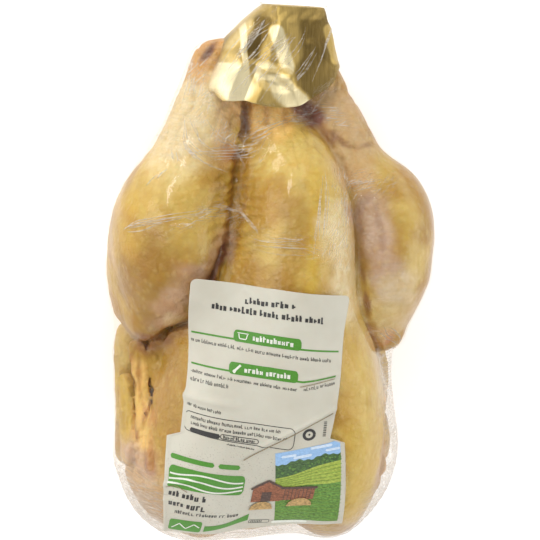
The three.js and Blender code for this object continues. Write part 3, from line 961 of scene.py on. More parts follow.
# Bundles of fine pinched folds in the film: both ends, how many, how far they spread to
# each side, and how wide one is.
PINCHES = [
    ((-70, 22, 70), (-38, 34, 84), 8, 2.2, 0.40),
    ((-38, 34, 84), (-27, 32, 84), 6, 3.0, 0.40),
    ((-26, 34, 82), (-14, 22, 95), 4, 2.0, 0.35),
    ((-15, 20, 98), (14, 21, 103), 8, 3.4, 0.26),
    ((17, 50, 98), (12, 18, 104), 8, 3.5, 0.35),
    ((28, 46, 90), (24, 20, 98), 8, 3.5, 0.35),
    ((34, 48, 80), (50, 52, 80), 8, 4.0, 0.30),
    ((-30, 62, 68), (-16, 66, 78), 9, 4.0, 0.40),
    ((-35, 72, 64), (-22, 52, 72), 9, 4.5, 0.45),
    ((2, 80, 70), (18, 84, 68), 12, 3.2, 0.35),
    ((-22, 68, 72), (4, 80, 68), 4, 1.2, 0.45),
    ((-12, 126, 68), (-34, 74, 66), 5, 3.0, 0.42),
    ((-2, 120, 71), (-26, 76, 68), 5, 3.0, 0.42),
    ((12, 112, 72), (-6, 82, 72), 4, 3.0, 0.42),
    ((2, 124, 70), (-24, 66, 70), 4, 6.0, 0.45),
    ((22, 130, 66), (10, 100, 74), 3, 3.0, 0.45),
    ((-50, 100, 58), (-48, 82, 62), 5, 2.5, 0.40),
    ((52, -26, 74), (64, -36, 66), 6, 3.0, 0.35),
    ((60, -84, 76), (66, -66, 64), 9, 9.0, 0.30),
    ((-72, -110, 50), (-50, -112, 74), 12, 10.0, 0.35),
    ((-66, -124, 52), (-44, -128, 68), 10, 7.0, 0.35),
    ((44, -118, 72), (70, -100, 50), 12, 8.0, 0.35),
    ((-56, 60, 72), (-52, 52, 76), 4, 3.0, 0.35),
    ((-60, 52, 72), (-64, 44, 70), 3, 3.0, 0.5),
]
PINCH_STEPS = 26
PINCH_GAP = 6.0  # a fold ends where its next step would be longer than this
PINCH_HEIGHT = 0.2  # of its width
PINCH_LIFT = 0.12
PINCH_SHAPE = ((-1, 0), (-0.35, 0.55), (0, 1), (0.35, 0.55), (1, 0))  # across and up


def pinch_strip(start, end, width, draw):
    """One pinched fold between two places on the film, as rows of points."""
    t = np.linspace(0, 1, PINCH_STEPS)[:, None]
    run = end - start
    bend = np.sin(math.pi * t) * draw.normal(size=3) * 0.035 * np.linalg.norm(run)
    wobble = np.cumsum(draw.normal(size=(PINCH_STEPS, 3)), 0) * 0.07
    guess = start + run * t + bend + wobble
    core = guess * np.array([0.0, 1.0, 0.0]) + np.array([0, 0, CORE_Z])
    core[:, 1] = np.clip(core[:, 1], *CORE_Y)
    away = guess - core
    path = touch(film_form, core, away / lengths(away))
    facing = normals(film_form, path)
    side = np.cross(np.gradient(path, axis=0), facing)
    side /= np.maximum(lengths(side), 1e-9)
    taper = np.sin(math.pi * np.clip(t, 0.02, 0.98)) ** 0.6 * width
    taper = taper * (1 + 0.35 * draw.normal(size=(PINCH_STEPS, 1))).clip(0.4, 1.6)
    rows = []
    for across, up in PINCH_SHAPE:
        lift = PINCH_LIFT + up * PINCH_HEIGHT * taper
        rows.append(path + side * across * taper + facing * lift)
    return np.stack(rows, 1)


def make_pinches(material):
    draw = np.random.default_rng(7)
    points, faces, base = [], [], 0
    for first, last, count, spread, width in PINCHES:
        first, run = np.array(first, float), np.subtract(last, first, dtype=float)
        for _ in range(count):
            shift = draw.normal(size=3) * spread * 0.6
            slide = draw.uniform(-0.15, 0.15) * run
            shorten = draw.uniform(0.45, 1.0)
            start = first + shift + slide
            end = first + run * shorten + shift + slide
            strip = pinch_strip(start, end, width * draw.uniform(0.35, 0.85), draw)
            rows, columns = strip.shape[:2]
            steps = np.linalg.norm(np.diff(strip[:, 2], axis=0), axis=1)
            kept = np.repeat(steps < PINCH_GAP, columns - 1)
            faces.append(np.array(grid_faces(rows, columns, base))[kept])
            points.append(strip.reshape(-1, 3))
            base += rows * columns
    points, faces = np.concatenate(points), np.concatenate(faces)
    made = piece("film_pinches", points, faces, material, None)
    # painted glints: the pinched folds are drawn mostly milky white, standing in for light glinting
    # off them
    store(made, "milk_and_glint", 0.72 + 0.15 * waves(points, 9, 41))
    store(made, "crinkle", np.zeros(len(points)))


# ---- the foil -------------------------------------------------------------------------

FOIL_RINGS = 110
FOIL_SIDES = 360
FOIL_SUNK = 0.3  # the sleeve is drawn in by this, so that its folds stay near the solid


def foil_points(rings, sides):
    """Points of the pleated sleeve in rings from rim to end, and which way is outwards."""
    t, angle = np.meshgrid(
        np.linspace(0, 1, rings), 2 * math.pi * np.arange(sides) / sides, indexing="ij"
    )
    cut_back = FOIL["rim_cut"] * np.maximum(np.cos(angle), 0) ** 1.5
    t = cut_back + (1 - cut_back) * t
    wave = np.abs((angle * FOIL["pleats"] / math.pi + FOIL["pleat_twist"] * t) % 2 - 1) - 0.5
    dent = np.sin(5 * angle + 9 * t) * np.sin(11 * t + 2 * angle)
    swell = 1 + FOIL["pleat_depth"] * wave * (1 - FOIL["pleat_fade"] * t) + FOIL["crush"] * dent
    middle, half = foil_section(t)
    across, up = (
        np.sign(turned(angle)) * np.abs(turned(angle)) ** FOIL["square"]
        for turned in (np.cos, np.sin)
    )
    dip = (FOIL["rim_dip"] * np.sin(angle) + FOIL["rim_wave"] * wave) * (1 - t)
    x = middle[..., 0] + half[..., 0] * swell * across
    z = middle[..., 2] + half[..., 1] * swell * up
    outwards = np.stack([across, np.zeros_like(t), up], -1)
    return np.stack([x, middle[..., 1] - dip, z], -1), outwards / lengths(outwards)


# The big folds of the foil on the breast side: the points of each, its half width, how
# far it stands out, or in where that is negative.
FOIL_FOLDS = [
    ([(-13, 136), (-17, 121), (-19, 104), (-25, 90)], 7.0, -3.6),
    ([(-2.7, 134), (-2.7, 125), (-1.2, 101)], 6.0, 3.0),
    ([(-1.2, 101), (0, 95), (3, 88)], 6.0, 3.0),
    ([(-44, 102), (-35, 109), (-23, 113)], 6.0, -1.8),
    ([(-18, 107), (-11, 104), (-3, 103)], 4.5, 2.2),
    ([(-14, 99), (-5, 97)], 4.0, -1.5),
    ([(10, 119), (17, 116), (26, 108)], 3.0, 1.3),
    ([(-8, 137), (-6, 128), (-9, 118)], 4.0, 2.0),
]

# Painted reflections on the gold, light and dark: points, half width, how light the gold looks there
# from 0 to 1, and how strong.
FOIL_PAINTED_REFLECTIONS = [
    ([(13, 130), (15, 112), (12, 98)], 11, 0.06, 1.0),
    ([(9, 101), (18, 103)], 6, 0.10, 0.9),
    ([(20, 126), (24, 112)], 3, 0.55, 0.8),
    ([(-1, 129), (1, 114)], 5, 0.36, 0.8),
    ([(-14, 129), (-18, 119), (-21, 111)], 4.5, 0.0, 1.0),
    ([(-19, 106), (-24, 94)], 4, 0.42, 0.8),
    ([(-44, 101), (-34, 103), (-28, 96)], 9, 1.0, 1.0),
    ([(-33, 119), (-25, 127)], 6, 0.66, 0.9),
    ([(-40, 110), (-30, 110)], 3, 0.40, 0.7),
    ([(-24, 128), (-24, 115), (-22.6, 103)], 1.6, 1.0, 0.9),
    ([(-8, 124), (-5, 115), (-2, 107)], 3.5, 1.0, 0.9),
    ([(-13, 103), (-3, 94), (4, 89)], 6, 0.92, 0.95),
    ([(-14, 97), (-12, 91)], 3, 0.5, 0.8),
    ([(-14, 104), (-2, 105)], 1.5, 0.35, 0.5),
    ([(-14, 135), (14, 135)], 4, 0.28, 0.8),
]


def off_flat_line(points, line):
    """How far each point is from a line on the plan, whatever its height."""
    return off_spots(points[:, :2], np.array(line, float))


def foil_relief(points):
    high = np.zeros(len(points))
    for line, half, height in FOIL_FOLDS:
        near = off_flat_line(points, line)
        high += height * (np.sqrt(np.maximum(1 - near / half, 0) + 0.02) - 0.14) ** 1.6
    return high * soft_step(points[:, 2], 52, 60)


def painted_foil_reflection(points):
    over = soft_step(points[:, 2], 54, 62)
    # painted reflection: each crumpled facet gets its own lightness, then the listed places on the
    # breast side theirs
    painted_reflection = 0.42 + 0.16 * facets(points, 30, 55, 4)
    for line, half, level, strength in FOIL_PAINTED_REFLECTIONS:
        share = soft_step(off_flat_line(points, line), half * 1.25, half * 0.75)
        painted_reflection = painted_reflection + (level - painted_reflection) * share * strength * over
    return np.clip(painted_reflection, 0, 1)


def make_foil(material):
    grid, outwards = foil_points(FOIL_RINGS, FOIL_SIDES)
    flat = grid.reshape(-1, 3)
    crumple = 0.20 * facets(flat, 40, 51, 4) + 0.02 * facets(flat, 14, 52, 6)
    crushed = soft_step(flat[:, 1], 122, 134) * 0.4 * facets(flat, 9, 54, 6)
    raised = crumple + crushed + foil_relief(flat) - FOIL_SUNK
    flat = flat + outwards.reshape(-1, 3) * raised[:, None]
    rim_middle = np.add(FOIL["rim_at"], (0, 6, 0))
    end_middle = np.add(FOIL["end_at"], (0, -2, 0))
    points = np.concatenate([[rim_middle], flat, [end_middle]])
    faces = ring_faces(FOIL_RINGS, FOIL_SIDES)
    made = piece("gold_foil", points, faces, material, "leg_foil")
    # the painted reflections, light and dark, for the material to read
    store(made, "painted_reflection", painted_foil_reflection(points))


# ---- the label ------------------------------------------------------------------------

PAPER_STEP = 2.0
PAPER_HALF = 56.0
PAPER_LIFT = 0.55  # the top of the paper over the form that it was walked over
PAPER_ROWS = (7, 90, 5, 70)  # rows of points from each level of the outline to the next
PAPER_COLUMNS = 121
PAPER_CURL = 0.5  # how far the side edges lift
PAPER_THICK = 0.00022  # in metres


def label_reach(down):
    upper, lower, corner = LABEL["upper"], LABEL["lower"], LABEL["corner"]
    part_share = np.clip((down - upper["end"]) / (lower["start"] - upper["end"]), 0, 1)
    reach = []
    for side in ("left", "right"):
        a = np.interp(down, (upper["start"], upper["end"]), upper[side])
        b = np.interp(down, (lower["start"], lower["end"]), lower[side])
        reach.append(a + (b - a) * part_share)
    left_over = np.maximum(corner - down, 0)
    rounding = corner - np.sqrt(np.maximum(corner**2 - left_over**2, 0))
    return reach[0] - rounding, reach[1] - rounding


def march(start, heading, off, count):
    """Rows of points over the paper's form, which don't drift along the direction off."""
    rows = [start]
    for _ in range(count):
        following = walk(paper_form, rows[-1], heading, PAPER_STEP)
        heading = following - rows[-1]
        heading = heading - (heading * off).sum(1, keepdims=True) * off
        rows.append(following)
    return rows


def lay_paper():
    """Points over the film for whole steps to the side and down from the label's top."""
    angle = math.radians(LABEL["turn"])
    side = np.array([math.cos(angle), math.sin(angle), 0])
    down = np.array([math.sin(angle), -math.cos(angle), 0])
    start = np.array([[*LABEL["top"], 0.0]])
    top = touch(paper_form, start, np.array([[0.0, 0.0, 1.0]]))
    spine = march(top, down[None], side, int(LABEL["lower"]["end"] / PAPER_STEP) + 1)
    spine = np.concatenate(spine)
    slant = np.interp(np.arange(len(spine)) * PAPER_STEP, *LABEL["slant"])[:, None]
    across = (side + down * slant) / np.hypot(1, slant)
    along = (down - side * slant) / np.hypot(1, slant)
    count = int(PAPER_HALF / PAPER_STEP)
    left, right = (march(spine, way, along, count) for way in (-across, across))
    grid = np.stack(left[::-1] + right[1:], 1)
    facing = normals(paper_form, grid.reshape(-1, 3)).reshape(grid.shape)
    return grid, facing


PAPER, PAPER_FACING = lay_paper()

# Folds in the paper, in paper coordinates (right and down of the top middle): both ends,
# how wide and how high the ridge is, and how much the paper steps up beyond it.
PAPER_FOLDS = [
    ((37, 58.4), (-7, 85.4), 1.2, 1.5, 0.9),
    ((38, 39.6), (17, 44.8), 1.2, 0.9, 0.4),
    ((-46, 58), (-11, 60), 2.0, 1.5, 0.3),
    ((-14, 2), (0, 10), 1.8, 0.4, 0.2),
    ((-2, 2), (8, 12), 1.6, 0.35, -0.2),
    ((-49, 104), (-24, 98), 1.6, 0.9, 0.4),
    ((-47, 111), (-28, 115), 1.5, 0.6, 0.3),
    ((-32, 116), (-10, 119), 2.0, 0.6, 0.2),
]
STEP_FADE = 9  # how far the step runs out beyond a fold


def paper_relief(u, v):
    high = 0.10 * np.sin(u / 9 + v / 23) + 0.10 * np.sin(v / 11 - u / 17)
    for start, end, width, ridge, step in PAPER_FOLDS:
        axis = np.subtract(end, start, dtype=float)
        length = np.linalg.norm(axis)
        du, dv = u - start[0], v - start[1]
        along = (du * axis[0] + dv * axis[1]) / length
        off = (dv * axis[0] - du * axis[1]) / length
        fade = soft_step(along, -0.1 * length, 0.1 * length)
        fade = fade * soft_step(along, length * 1.15, length * 0.6)
        crest = ridge * np.exp(-((off / width) ** 2))
        beyond = step * soft_step(off, -width, width) * np.exp(-np.maximum(off, 0) / STEP_FADE)
        high = high + fade * (crest + beyond)
    return high


def on_paper(u, v, lift):
    """The place of paper coordinates, raised over the paper by the lift."""
    u, v = np.broadcast_arrays(np.asarray(u, float), np.asarray(v, float))
    column = np.clip((u + PAPER_HALF) / PAPER_STEP, 0, PAPER.shape[1] - 1.001)
    row = np.clip(v / PAPER_STEP, 0, PAPER.shape[0] - 1.001)
    c, r = column.astype(int), row.astype(int)
    fc, fr = (column - c)[..., None], (row - r)[..., None]

    def between(grid):
        near = grid[r, c] * (1 - fc) + grid[r, c + 1] * fc
        far = grid[r + 1, c] * (1 - fc) + grid[r + 1, c + 1] * fc
        return near * (1 - fr) + far * fr

    height = PAPER_LIFT + paper_relief(u, v) + lift
    return between(PAPER) + between(PAPER_FACING) * height[..., None]


def make_paper(material):
    upper, lower = LABEL["upper"], LABEL["lower"]
    stops = (0, LABEL["corner"], upper["end"], lower["start"], lower["end"])
    runs = [np.linspace(a, b, n) for a, b, n in zip(stops[:-1], stops[1:], PAPER_ROWS)]
    rows = np.unique(np.concatenate(runs))
    share = np.linspace(-1, 1, PAPER_COLUMNS)
    left, right = label_reach(rows)
    u = share * np.where(share < 0, left[:, None], right[:, None])
    v = np.repeat(rows[:, None], len(share), 1)
    curl = PAPER_CURL * soft_step(np.abs(share)[None], 0.93, 1.0) * soft_step(v, 10, 60)
    points = on_paper(u, v, curl).reshape(-1, 3)
    faces = grid_faces(len(rows), len(share))
    made = piece("paper_label", points, faces, material, "label")
    store(made, "recycled", soft_step(v.ravel(), 74, 86))
    thick = made.modifiers.new("paper", "SOLIDIFY")
    thick.thickness = PAPER_THICK
    thick.offset = -1


# ---- the print ------------------------------------------------------------------------
# Plain fields of colour and rows of small marks in paper coordinates: right and down of the
# label's top middle. The marks spell nothing. The brown lines along the paper's folds are
# painted shadow, drawn in the same way.

PRINT_LIFT = 0.10
PRINT_STEP = 0.7
PICTURE_WIDE = 36.0
PICTURE_TOP, PICTURE_FOOT = 83.7, 130.0
TREES = 46

# Rows of marks: left, right, middle, height, seed, slope, marks in a group and weight.
DARK_MARKS = [
    (-12.9, 14.1, 8.0, 3.3, 1, -0.03, 6, 0.29),
    (-29.7, 31, 13.0, 3.3, 2, 0.005, 6, 0.29),
    (-40.4, 33.6, 31.2, 2.0, 3, 0.024, 5, 0.15),
    (-41.2, 18, 46.6, 2.0, 4, 0.034, 5, 0.15),
    (19.5, 36.4, 48.0, 2.0, 15, -0.24, 5, 0.13),
    (-41.3, -17.4, 50.3, 2.0, 5, 0.038, 5, 0.15),
    (-41.5, -19, 61.5, 1.7, 6, 0.107, 5, 0.15),
    (-36.5, 11.2, 67.4, 1.9, 7, 0.088, 6, 0.15),
    (-36, 14.8, 70.0, 1.9, 8, 0.108, 6, 0.15),
    (-18.2, -1.5, 75.1, 1.9, 10, 0.13, 6, 0.17),
    (-16.1, -1.6, 78.6, 1.0, 9, 0.19, 5, 0.2),
    (-43.6, -22.5, 107.9, 3.8, 11, 0.145, 6, 0.24),
    (-42.5, -18.5, 113.3, 3.8, 12, 0.148, 6, 0.24),
    (-38.1, -2.4, 119.3, 2.6, 13, 0.084, 5, 0.17),
]
PALE_MARKS = [
    (-7.5, 14.2, 25.9, 3.0, 31, 0.005, 14, 0.24),
    (-10.6, 13.8, 42.1, 3.0, 32, 0.012, 14, 0.24),
]
# Frames: left, right, top, bottom, corner, slope at the top and bottom, and line width.
FRAMES = [
    (-40.3, 17.5, 64.7, 73.4, 2.6, 0.083, 0.148, 0.35),
    (-19.6, -0.4, 73.6, 75.9, 1.1, 0.13, 0.13, 0.35),
    (2.9, 13.6, 127.6, 130.2, 0.6, 0.11, 0.11, 0.3),
]
# Rounded fields: left, right, top, bottom, corner and slope.
GREEN_FIELDS = [
    (-17.5, 17, 22.7, 28.6, 1.7, 0.005),
    (-18.4, 16.2, 38.6, 44.6, 1.7, 0.012),
    (-46.5, -21, 86.4, 89.0, 1.2, 0.10),
    (-19, -8, 89.1, 91.7, 1.2, 0.10),
    (-46, -4.2, 92.2, 103.9, 2.6, 0.105),
    (-40, -22, 124.4, 133.5, 1.2, 0.05),
]
# Lines: their points and width.
GREEN_LINES = [
    ([(-39.8, 27.3), (38.5, 28.3)], 0.9),
    ([(-40.5, 42.8), (18.8, 44.2), (36.4, 40.6)], 0.9),
]
PALE_LINES = [
    ([(-14.9, 24.6), (-14.4, 27.0), (-10.9, 27.0), (-10.4, 24.6)], 0.5),
    ([(-15.6, 24.2), (-9.8, 24.2)], 0.4),
    ([(-15.8, 43.3), (-12.6, 39.8)], 1.1),
    ([(-38, 131.5), (-34, 127.5), (-30, 131.5), (-26, 127.5), (-23, 130)], 0.7),
]
# Painted shadow along the paper's folds: its points and width.
FOLD_SHADOW_LINES = [
    ([(-6.8, 87.2), (4, 80.8), (15, 74.2), (26, 67.0), (37.3, 60.2)], 0.55),
    ([(17.5, 46.8), (36.2, 41.9)], 0.35),
    ([(-48, 105.5), (-40, 103.2), (-33, 106.5)], 0.4),
]
# Clouds in the picture: middle, and half their length and height.
CLOUDS = [(7, 85.8, 4, 0.7), (14, 86.4, 5, 0.8), (24, 81.2, 6, 0.8), (30, 82.6, 4, 0.7)]


def picture_left(v):
    return 9 + 0.16 * (v - PICTURE_TOP)


class Print:
    """The shapes of one colour on the paper, print or painted shadow, gathered into one thin mesh.
    """

    def __init__(self, name, colour, layer=1, mottle=0.0, fitted=False):
        self.name, self.lift, self.fitted = name, PRINT_LIFT * layer, fitted
        self.material = ink_material(name, rgb(*colour), mottle)
        self.points, self.faces = [], []
        self.count = 0

    def sheet(self, u, v):
        if self.fitted:
            left, right = picture_left(v), label_reach(v)[1] - 0.4
            u = left + (right - left) * u / PICTURE_WIDE
        points = on_paper(u, v, self.lift)
        self.points.append(points.reshape(-1, 3))
        self.faces += grid_faces(*u.shape, self.count)
        self.count += u.size

    def field(self, left, right, top, bottom):
        """A shape between two edges, each a number or a function of the place across."""
        across = np.linspace(left, right, max(2, int((right - left) / PRINT_STEP) + 2))
        high, low = (
            edge(across) if callable(edge) else np.full(len(across), float(edge))
            for edge in (top, bottom)
        )
        tall = max(2, int(np.max(low - high) / PRINT_STEP) + 2)
        share = np.linspace(0, 1, tall)[:, None]
        self.sheet(np.repeat(across[None], tall, 0), high + (low - high) * share)

    def rounded(self, left, right, top, bottom, corner, slope=0.0):
        def inset(u):
            near = np.maximum(corner - np.minimum(u - left, right - u), 0)
            return corner - np.sqrt(np.maximum(corner**2 - near**2, 0))

        def upper(u):
            return top + inset(u) + slope * (u - left)

        def lower(u):
            return bottom - inset(u) + slope * (u - left)

        self.field(left, right, upper, lower)

    def disc(self, u, v, radius):
        self.rounded(u - radius, u + radius, v - radius, v + radius, radius)

    def stroke(self, path, width):
        """A line of even width along points."""
        path = np.array(path, float)
        steps = np.linalg.norm(np.diff(path, axis=0), axis=1)
        reached = np.concatenate([[0], np.cumsum(steps)])
        at = np.linspace(0, reached[-1], max(3, int(reached[-1] / PRINT_STEP) + 1))
        line = np.stack([np.interp(at, reached, path[:, i]) for i in (0, 1)], 1)
        run = np.gradient(line, axis=0)
        run /= np.maximum(lengths(run), 1e-9)
        side = np.stack([-run[:, 1], run[:, 0]], 1) * width / 2
        both = np.stack([line - side, line + side])
        self.sheet(both[..., 0], both[..., 1])

    def strokes(self, lines):
        for path, width in lines:
            self.stroke(path, width)

    def bars(self, count, start, step, wide, tall):
        """A row of small upright or level bars, each a step on from the last."""
        for i in range(count):
            left, top = start[0] + i * step[0], start[1] + i * step[1]
            self.field(left, left + wide, top, top + tall)

    def marks(self, left, right, middle, height, seed, slope, word, weight):
        """Small upright and level marks in groups, as print looks from a distance."""
        draw = np.random.default_rng(seed)
        bar = height * weight
        at = left
        while at < right - height * 0.5:
            for _ in range(int(draw.uniform(2, 2 * word - 2))):
                wide = height * draw.uniform(0.36, 0.56)
                if at + wide > right:
                    return
                tall = height * draw.choice([0.58, 0.62, 0.58, 0.92])
                foot = middle + slope * (at - left) + height * 0.32
                self.field(at, at + bar, foot - tall, foot)
                if draw.random() < 0.7:
                    self.field(at + wide - bar, at + wide, foot - height * 0.58, foot)
                level = foot - height * draw.choice([0.0, 0.28, 0.58]) - bar * 0.4
                self.field(at, at + wide, level, level + bar * 0.8)
                at += wide + height * 0.17
            at += height * 0.36

    def done(self):
        points = np.concatenate(self.points)
        piece(self.name, points, self.faces, self.material, None)


def rounded_path(left, right, top, bottom, corner, slope, foot_slope):
    """A closed outline with round corners, its top and bottom on slopes of their own."""
    path = []
    corners = ((right, top, -90), (right, bottom, 0), (left, bottom, 90), (left, top, 180))
    for x, y, first in corners:
        middle_x = x - math.copysign(corner, x - (left + right) / 2)
        middle_y = y - math.copysign(corner, y - (top + bottom) / 2)
        for turn in np.radians(np.linspace(first, first + 90, 7)):
            u = middle_x + corner * math.cos(turn)
            v = middle_y + corner * math.sin(turn)
            tilt = slope + (foot_slope - slope) * (v - top) / (bottom - top)
            path.append((u, v + tilt * (u - left)))
    return path + path[:1]


def circle(u, v, radius):
    turns = np.linspace(0, 2 * math.pi, 33)
    return np.stack([u + radius * np.cos(turns), v + radius * np.sin(turns)], 1)


def print_dark():
    dark = Print("print_dark", (0.030, 0.028, 0.026))
    for row in DARK_MARKS:
        dark.marks(*row)
    for *shape, width in FRAMES:
        dark.stroke(rounded_path(*shape), width)
    dark.rounded(-36.3, -19.8, 72.0, 74.3, 1.0, 0.11)
    dark.stroke(circle(24.8, 73.1, 2.7), 1.5)
    dark.disc(24.8, 73.1, 0.7)
    dark.bars(9, (32.0, 65.6), (0, 1.02), 1.6, 0.5)
    dark.bars(7, (3.9, 128.2), (0.9, 0.1), 0.4, 1.8)
    dark.done()


def print_green():
    green = Print("print_green", (0.062, 0.235, 0.016))
    green.strokes(GREEN_LINES)
    for shape in GREEN_FIELDS:
        green.rounded(*shape)

    def hill(u):
        return 128.6 - 0.012 * (u + 20.5) ** 2

    green.field(-20.5, 2, hill, lambda u: 133.5 - 0.26 * (u + 20.5))
    green.done()


def print_pale():
    pale = Print("print_pale", (0.70, 0.71, 0.62), 2)
    for row in PALE_MARKS:
        pale.marks(*row)
    pale.strokes(PALE_LINES)
    pale.disc(-15.6, 43.2, 0.95)
    across = np.linspace(-45, -5, 40)
    for i in range(3):
        hill = 95.6 + 3.2 * i + 0.105 * (across + 46) - 1.1 * np.sin(across / 5.5 + i)
        pale.stroke(np.stack([across, hill], 1), 0.9)
    pale.rounded(15, 34, 129.9, 132.2, 0.7, 0.09)
    pale.done()


# Painted shadow: thin brown lines beside the paper's folds, where the fold throws shade.
def painted_fold_shadow():
    fold = Print("painted_fold_shadow", (0.30, 0.22, 0.12), 3, 0.3)
    fold.strokes(FOLD_SHADOW_LINES)
    fold.done()


# The picture's own edges and its hills, as functions of the place across it.


def sky_top(u):
    return PICTURE_TOP - 0.19 * u


def far_hill(u):
    return 90.5 - 0.20 * u + 0.7 * np.sin(u / 2.3) + 0.4 * np.sin(u * 1.4)


def near_hill(u):
    return 99 - 0.31 * u + 0.5 * np.sin(u / 5)


def ground(u):
    return 107 - 0.16 * u - 0.9 * np.sin(u / 7)


def picture_foot(u):
    return PICTURE_FOOT + 0.09 * u


def print_land():
    """A plain farm landscape: sky, a wooded ridge and striped fields."""
    fields = [
        ("picture_sky", (0.30, 0.50, 0.78), sky_top, far_hill, 0.10),
        ("picture_wood", (0.040, 0.105, 0.016), far_hill, near_hill, 0.55),
        ("picture_field", (0.36, 0.45, 0.050), near_hill, ground, 0.30),
        ("picture_grass", (0.105, 0.245, 0.022), ground, picture_foot, 0.50),
    ]
    for name, colour, upper, lower, mottle in fields:
        ink = Print(name, colour, 1, mottle, True)
        ink.field(0, PICTURE_WIDE, upper, lower)
        ink.done()
    cloud = Print("picture_cloud", (0.62, 0.74, 0.88), 2, 0.10, True)
    for u, v, half, tall in CLOUDS:
        cloud.rounded(u - half, u + half, v - tall, v + tall, tall, -0.16)
    cloud.done()
    rows = Print("picture_rows", (0.19, 0.33, 0.030), 2, 0.4, True)
    across = np.linspace(0, PICTURE_WIDE, 20)
    for i in range(5):
        down = (0.16 + 0.17 * i) * (ground(across) - near_hill(across))
        rows.stroke(np.stack([across, near_hill(across) + down], 1), 0.35)
    across = np.linspace(0, PICTURE_WIDE, 30)
    for i in range(9):
        down = (0.08 + 0.105 * i) * (picture_foot(across) - ground(across))
        drift = 0.5 * np.sin(across * 0.8 + 2 * i)
        rows.stroke(np.stack([across, ground(across) + down + drift], 1), 0.35)
    rows.done()
    crowns = Print("picture_trees", (0.085, 0.20, 0.025), 2, 0.5, True)
    draw = np.random.default_rng(61)
    for _ in range(TREES):
        u = draw.uniform(1.2, PICTURE_WIDE - 1.2)
        depth = near_hill(np.array(u)) - far_hill(np.array(u))
        crowns.disc(u, far_hill(u) + draw.uniform(0.3, 0.9) * depth, draw.uniform(0.4, 0.9))
    crowns.done()


def print_farm():
    """A barn with its roof, door and boards, and two haystacks before it."""
    barn = Print("picture_barn", (0.27, 0.085, 0.03), 3, 0.5)
    barn.field(1, 16, lambda u: 100.5 + 0.55 * np.abs(u - 8.5), 114)
    barn.field(16, 33, lambda u: 105.2 + 0.02 * (u - 16), 113.6)
    barn.done()
    roof = Print("picture_roof", (0.085, 0.040, 0.025), 4, 0.4)
    roof.stroke([(0, 105.3), (8.5, 100.3), (17, 105.3)], 1.2)
    roof.stroke([(15.5, 105.0), (34, 105.4)], 1.5)
    roof.field(6, 11, 107.5, 114)
    roof.bars(8, (17.5, 106), (1.9, 0), 0.3, 7.4)
    roof.done()
    straw = Print("picture_straw", (0.47, 0.29, 0.10), 5, 0.45)
    for middle, half, foot, under in ((7, 6, 119, 0.4), (26.5, 6.5, 117.5, 0.5)):

        def crown(u):
            return foot - 5 * np.sqrt(np.maximum(1 - ((u - middle) / half) ** 2, 0))

        straw.field(middle - half, middle + half, crown, foot + under)
    straw.done()


# ---- stage ----------------------------------------------------------------------------

TARGET = np.array([0.0, 0.0, 50.0])
DISTANCE = 1200.0
SCALE = 0.52  # millimetres for each pixel at the target
TILT, PITCH, ROLL_ANGLE = 12.0, -8.0, 3.5
FRAME_PIXELS = 540
SENSOR = 36.0
TENT = (0.0, 0.95, 0.85, 0.34)  # height from and to, and the strength at each
FLOOR_HALF = 3.0
AIM = Vector((0, 0, 0.05))
# Soft lights: name, place, size and power.
LIGHTS = [
    ("softbox_left", (-0.95, 0.35, 0.65), (0.7, 0.9), 5.0),
    ("softbox_right", (1.0, 0.05, 0.60), (0.7, 0.9), 3.6),
    ("softbox_top", (0.15, 1.1, 0.80), (1.2, 0.5), 1.8),
    ("softbox_front", (0.10, -1.10, 0.95), (1.4, 0.7), 5.0),
    ("strip_low", (-0.80, 1.08, 0.20), (0.30, 0.12), 1.2),
    ("strip_high", (-0.53, 1.00, 0.82), (0.32, 0.24), 3.6),
]


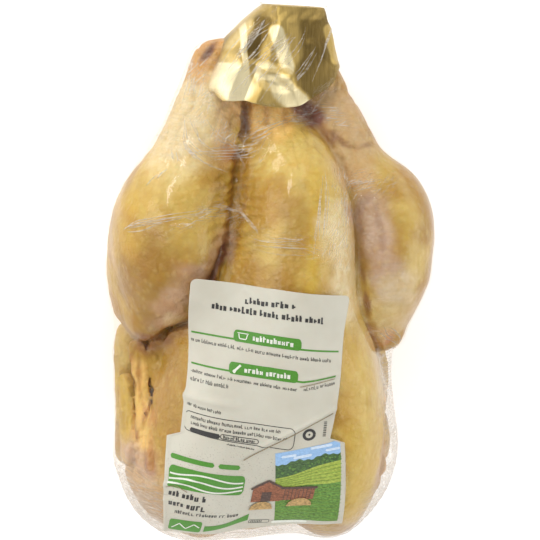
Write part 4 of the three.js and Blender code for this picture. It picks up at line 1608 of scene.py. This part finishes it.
def make_camera():
    tilt, pitch, roll = (math.radians(a) for a in (TILT, PITCH, ROLL_ANGLE))
    level = math.cos(pitch)
    back = np.array([-math.sin(tilt) * level, -math.sin(pitch), math.cos(tilt) * level])
    up = np.array([0, 1, 0]) - back * back[1]
    up /= np.linalg.norm(up)
    right = np.cross(up, back)
    across = right * math.cos(roll) + up * math.sin(roll)
    upwards = up * math.cos(roll) - right * math.sin(roll)
    data = bpy.data.cameras.new("camera")
    data.sensor_width = SENSOR
    data.lens = SENSOR * DISTANCE / SCALE / FRAME_PIXELS
    data.clip_start = 0.05
    made = add("camera", data)
    turn = Matrix([list(row) for row in np.stack([across, upwards, back], 1)])
    place = Matrix.Translation(Vector(metres(TARGET + back * DISTANCE)))
    made.matrix_world = place @ turn.to_4x4()
    SCENE.camera = made


def area_light(name, place, size, power):
    data = bpy.data.lights.new(name, "AREA")
    data.shape = "RECTANGLE"
    data.size, data.size_y = size
    data.energy = power
    made = add(name, data)
    made.location = place
    made.rotation_euler = (AIM - Vector(place)).to_track_quat("-Z", "Y").to_euler()


def light_world():
    """A light tent: bright round the sides and greyer overhead."""
    world = bpy.data.worlds.new("studio")
    world.use_nodes = True
    tree = world.node_tree
    background = tree.nodes["Background"]
    place = tree.nodes.new("ShaderNodeTexCoord")
    split = tree.nodes.new("ShaderNodeSeparateXYZ")
    ramp = tree.nodes.new("ShaderNodeMapRange")
    tree.links.new(place.outputs["Generated"], split.inputs[0])
    tree.links.new(split.outputs[2], ramp.inputs["Value"])
    for key, value in zip(("From Min", "From Max", "To Min", "To Max"), TENT):
        ramp.inputs[key].default_value = value
    tree.links.new(ramp.outputs[0], background.inputs[1])
    background.inputs[0].default_value = rgb(1, 1, 1)
    SCENE.world = world


def make_stage():
    mesh = bpy.data.meshes.new("floor")
    corners = [(x * FLOOR_HALF, y * FLOOR_HALF, 0) for x, y in ((-1, -1), (1, -1), (1, 1), (-1, 1))]
    mesh.from_pydata(corners, [], [[0, 1, 2, 3]])
    s = Shader("floor")
    paint = dict(Base_Color=rgb(0.95, 0.95, 0.95), Roughness=0.8)
    glow = dict(Emission_Color=rgb(1, 1, 1), Emission_Strength=0.33)
    mesh.materials.append(s.finish(s.shader("Principled", **paint, **glow)))
    floor = add("floor", mesh)
    light_world()
    for light in LIGHTS:
        area_light(*light)
    SCENE.view_settings.view_transform = "Standard"


make_bird(skin_material())
make_film(film_material("clear_film"))
make_pinches(film_material("film_pinches"))
make_foil(foil_material())
make_paper(paper_material())
for printed in (print_dark, print_green, print_pale, painted_fold_shadow, print_land, print_farm):
    printed()
make_stage()
make_camera()
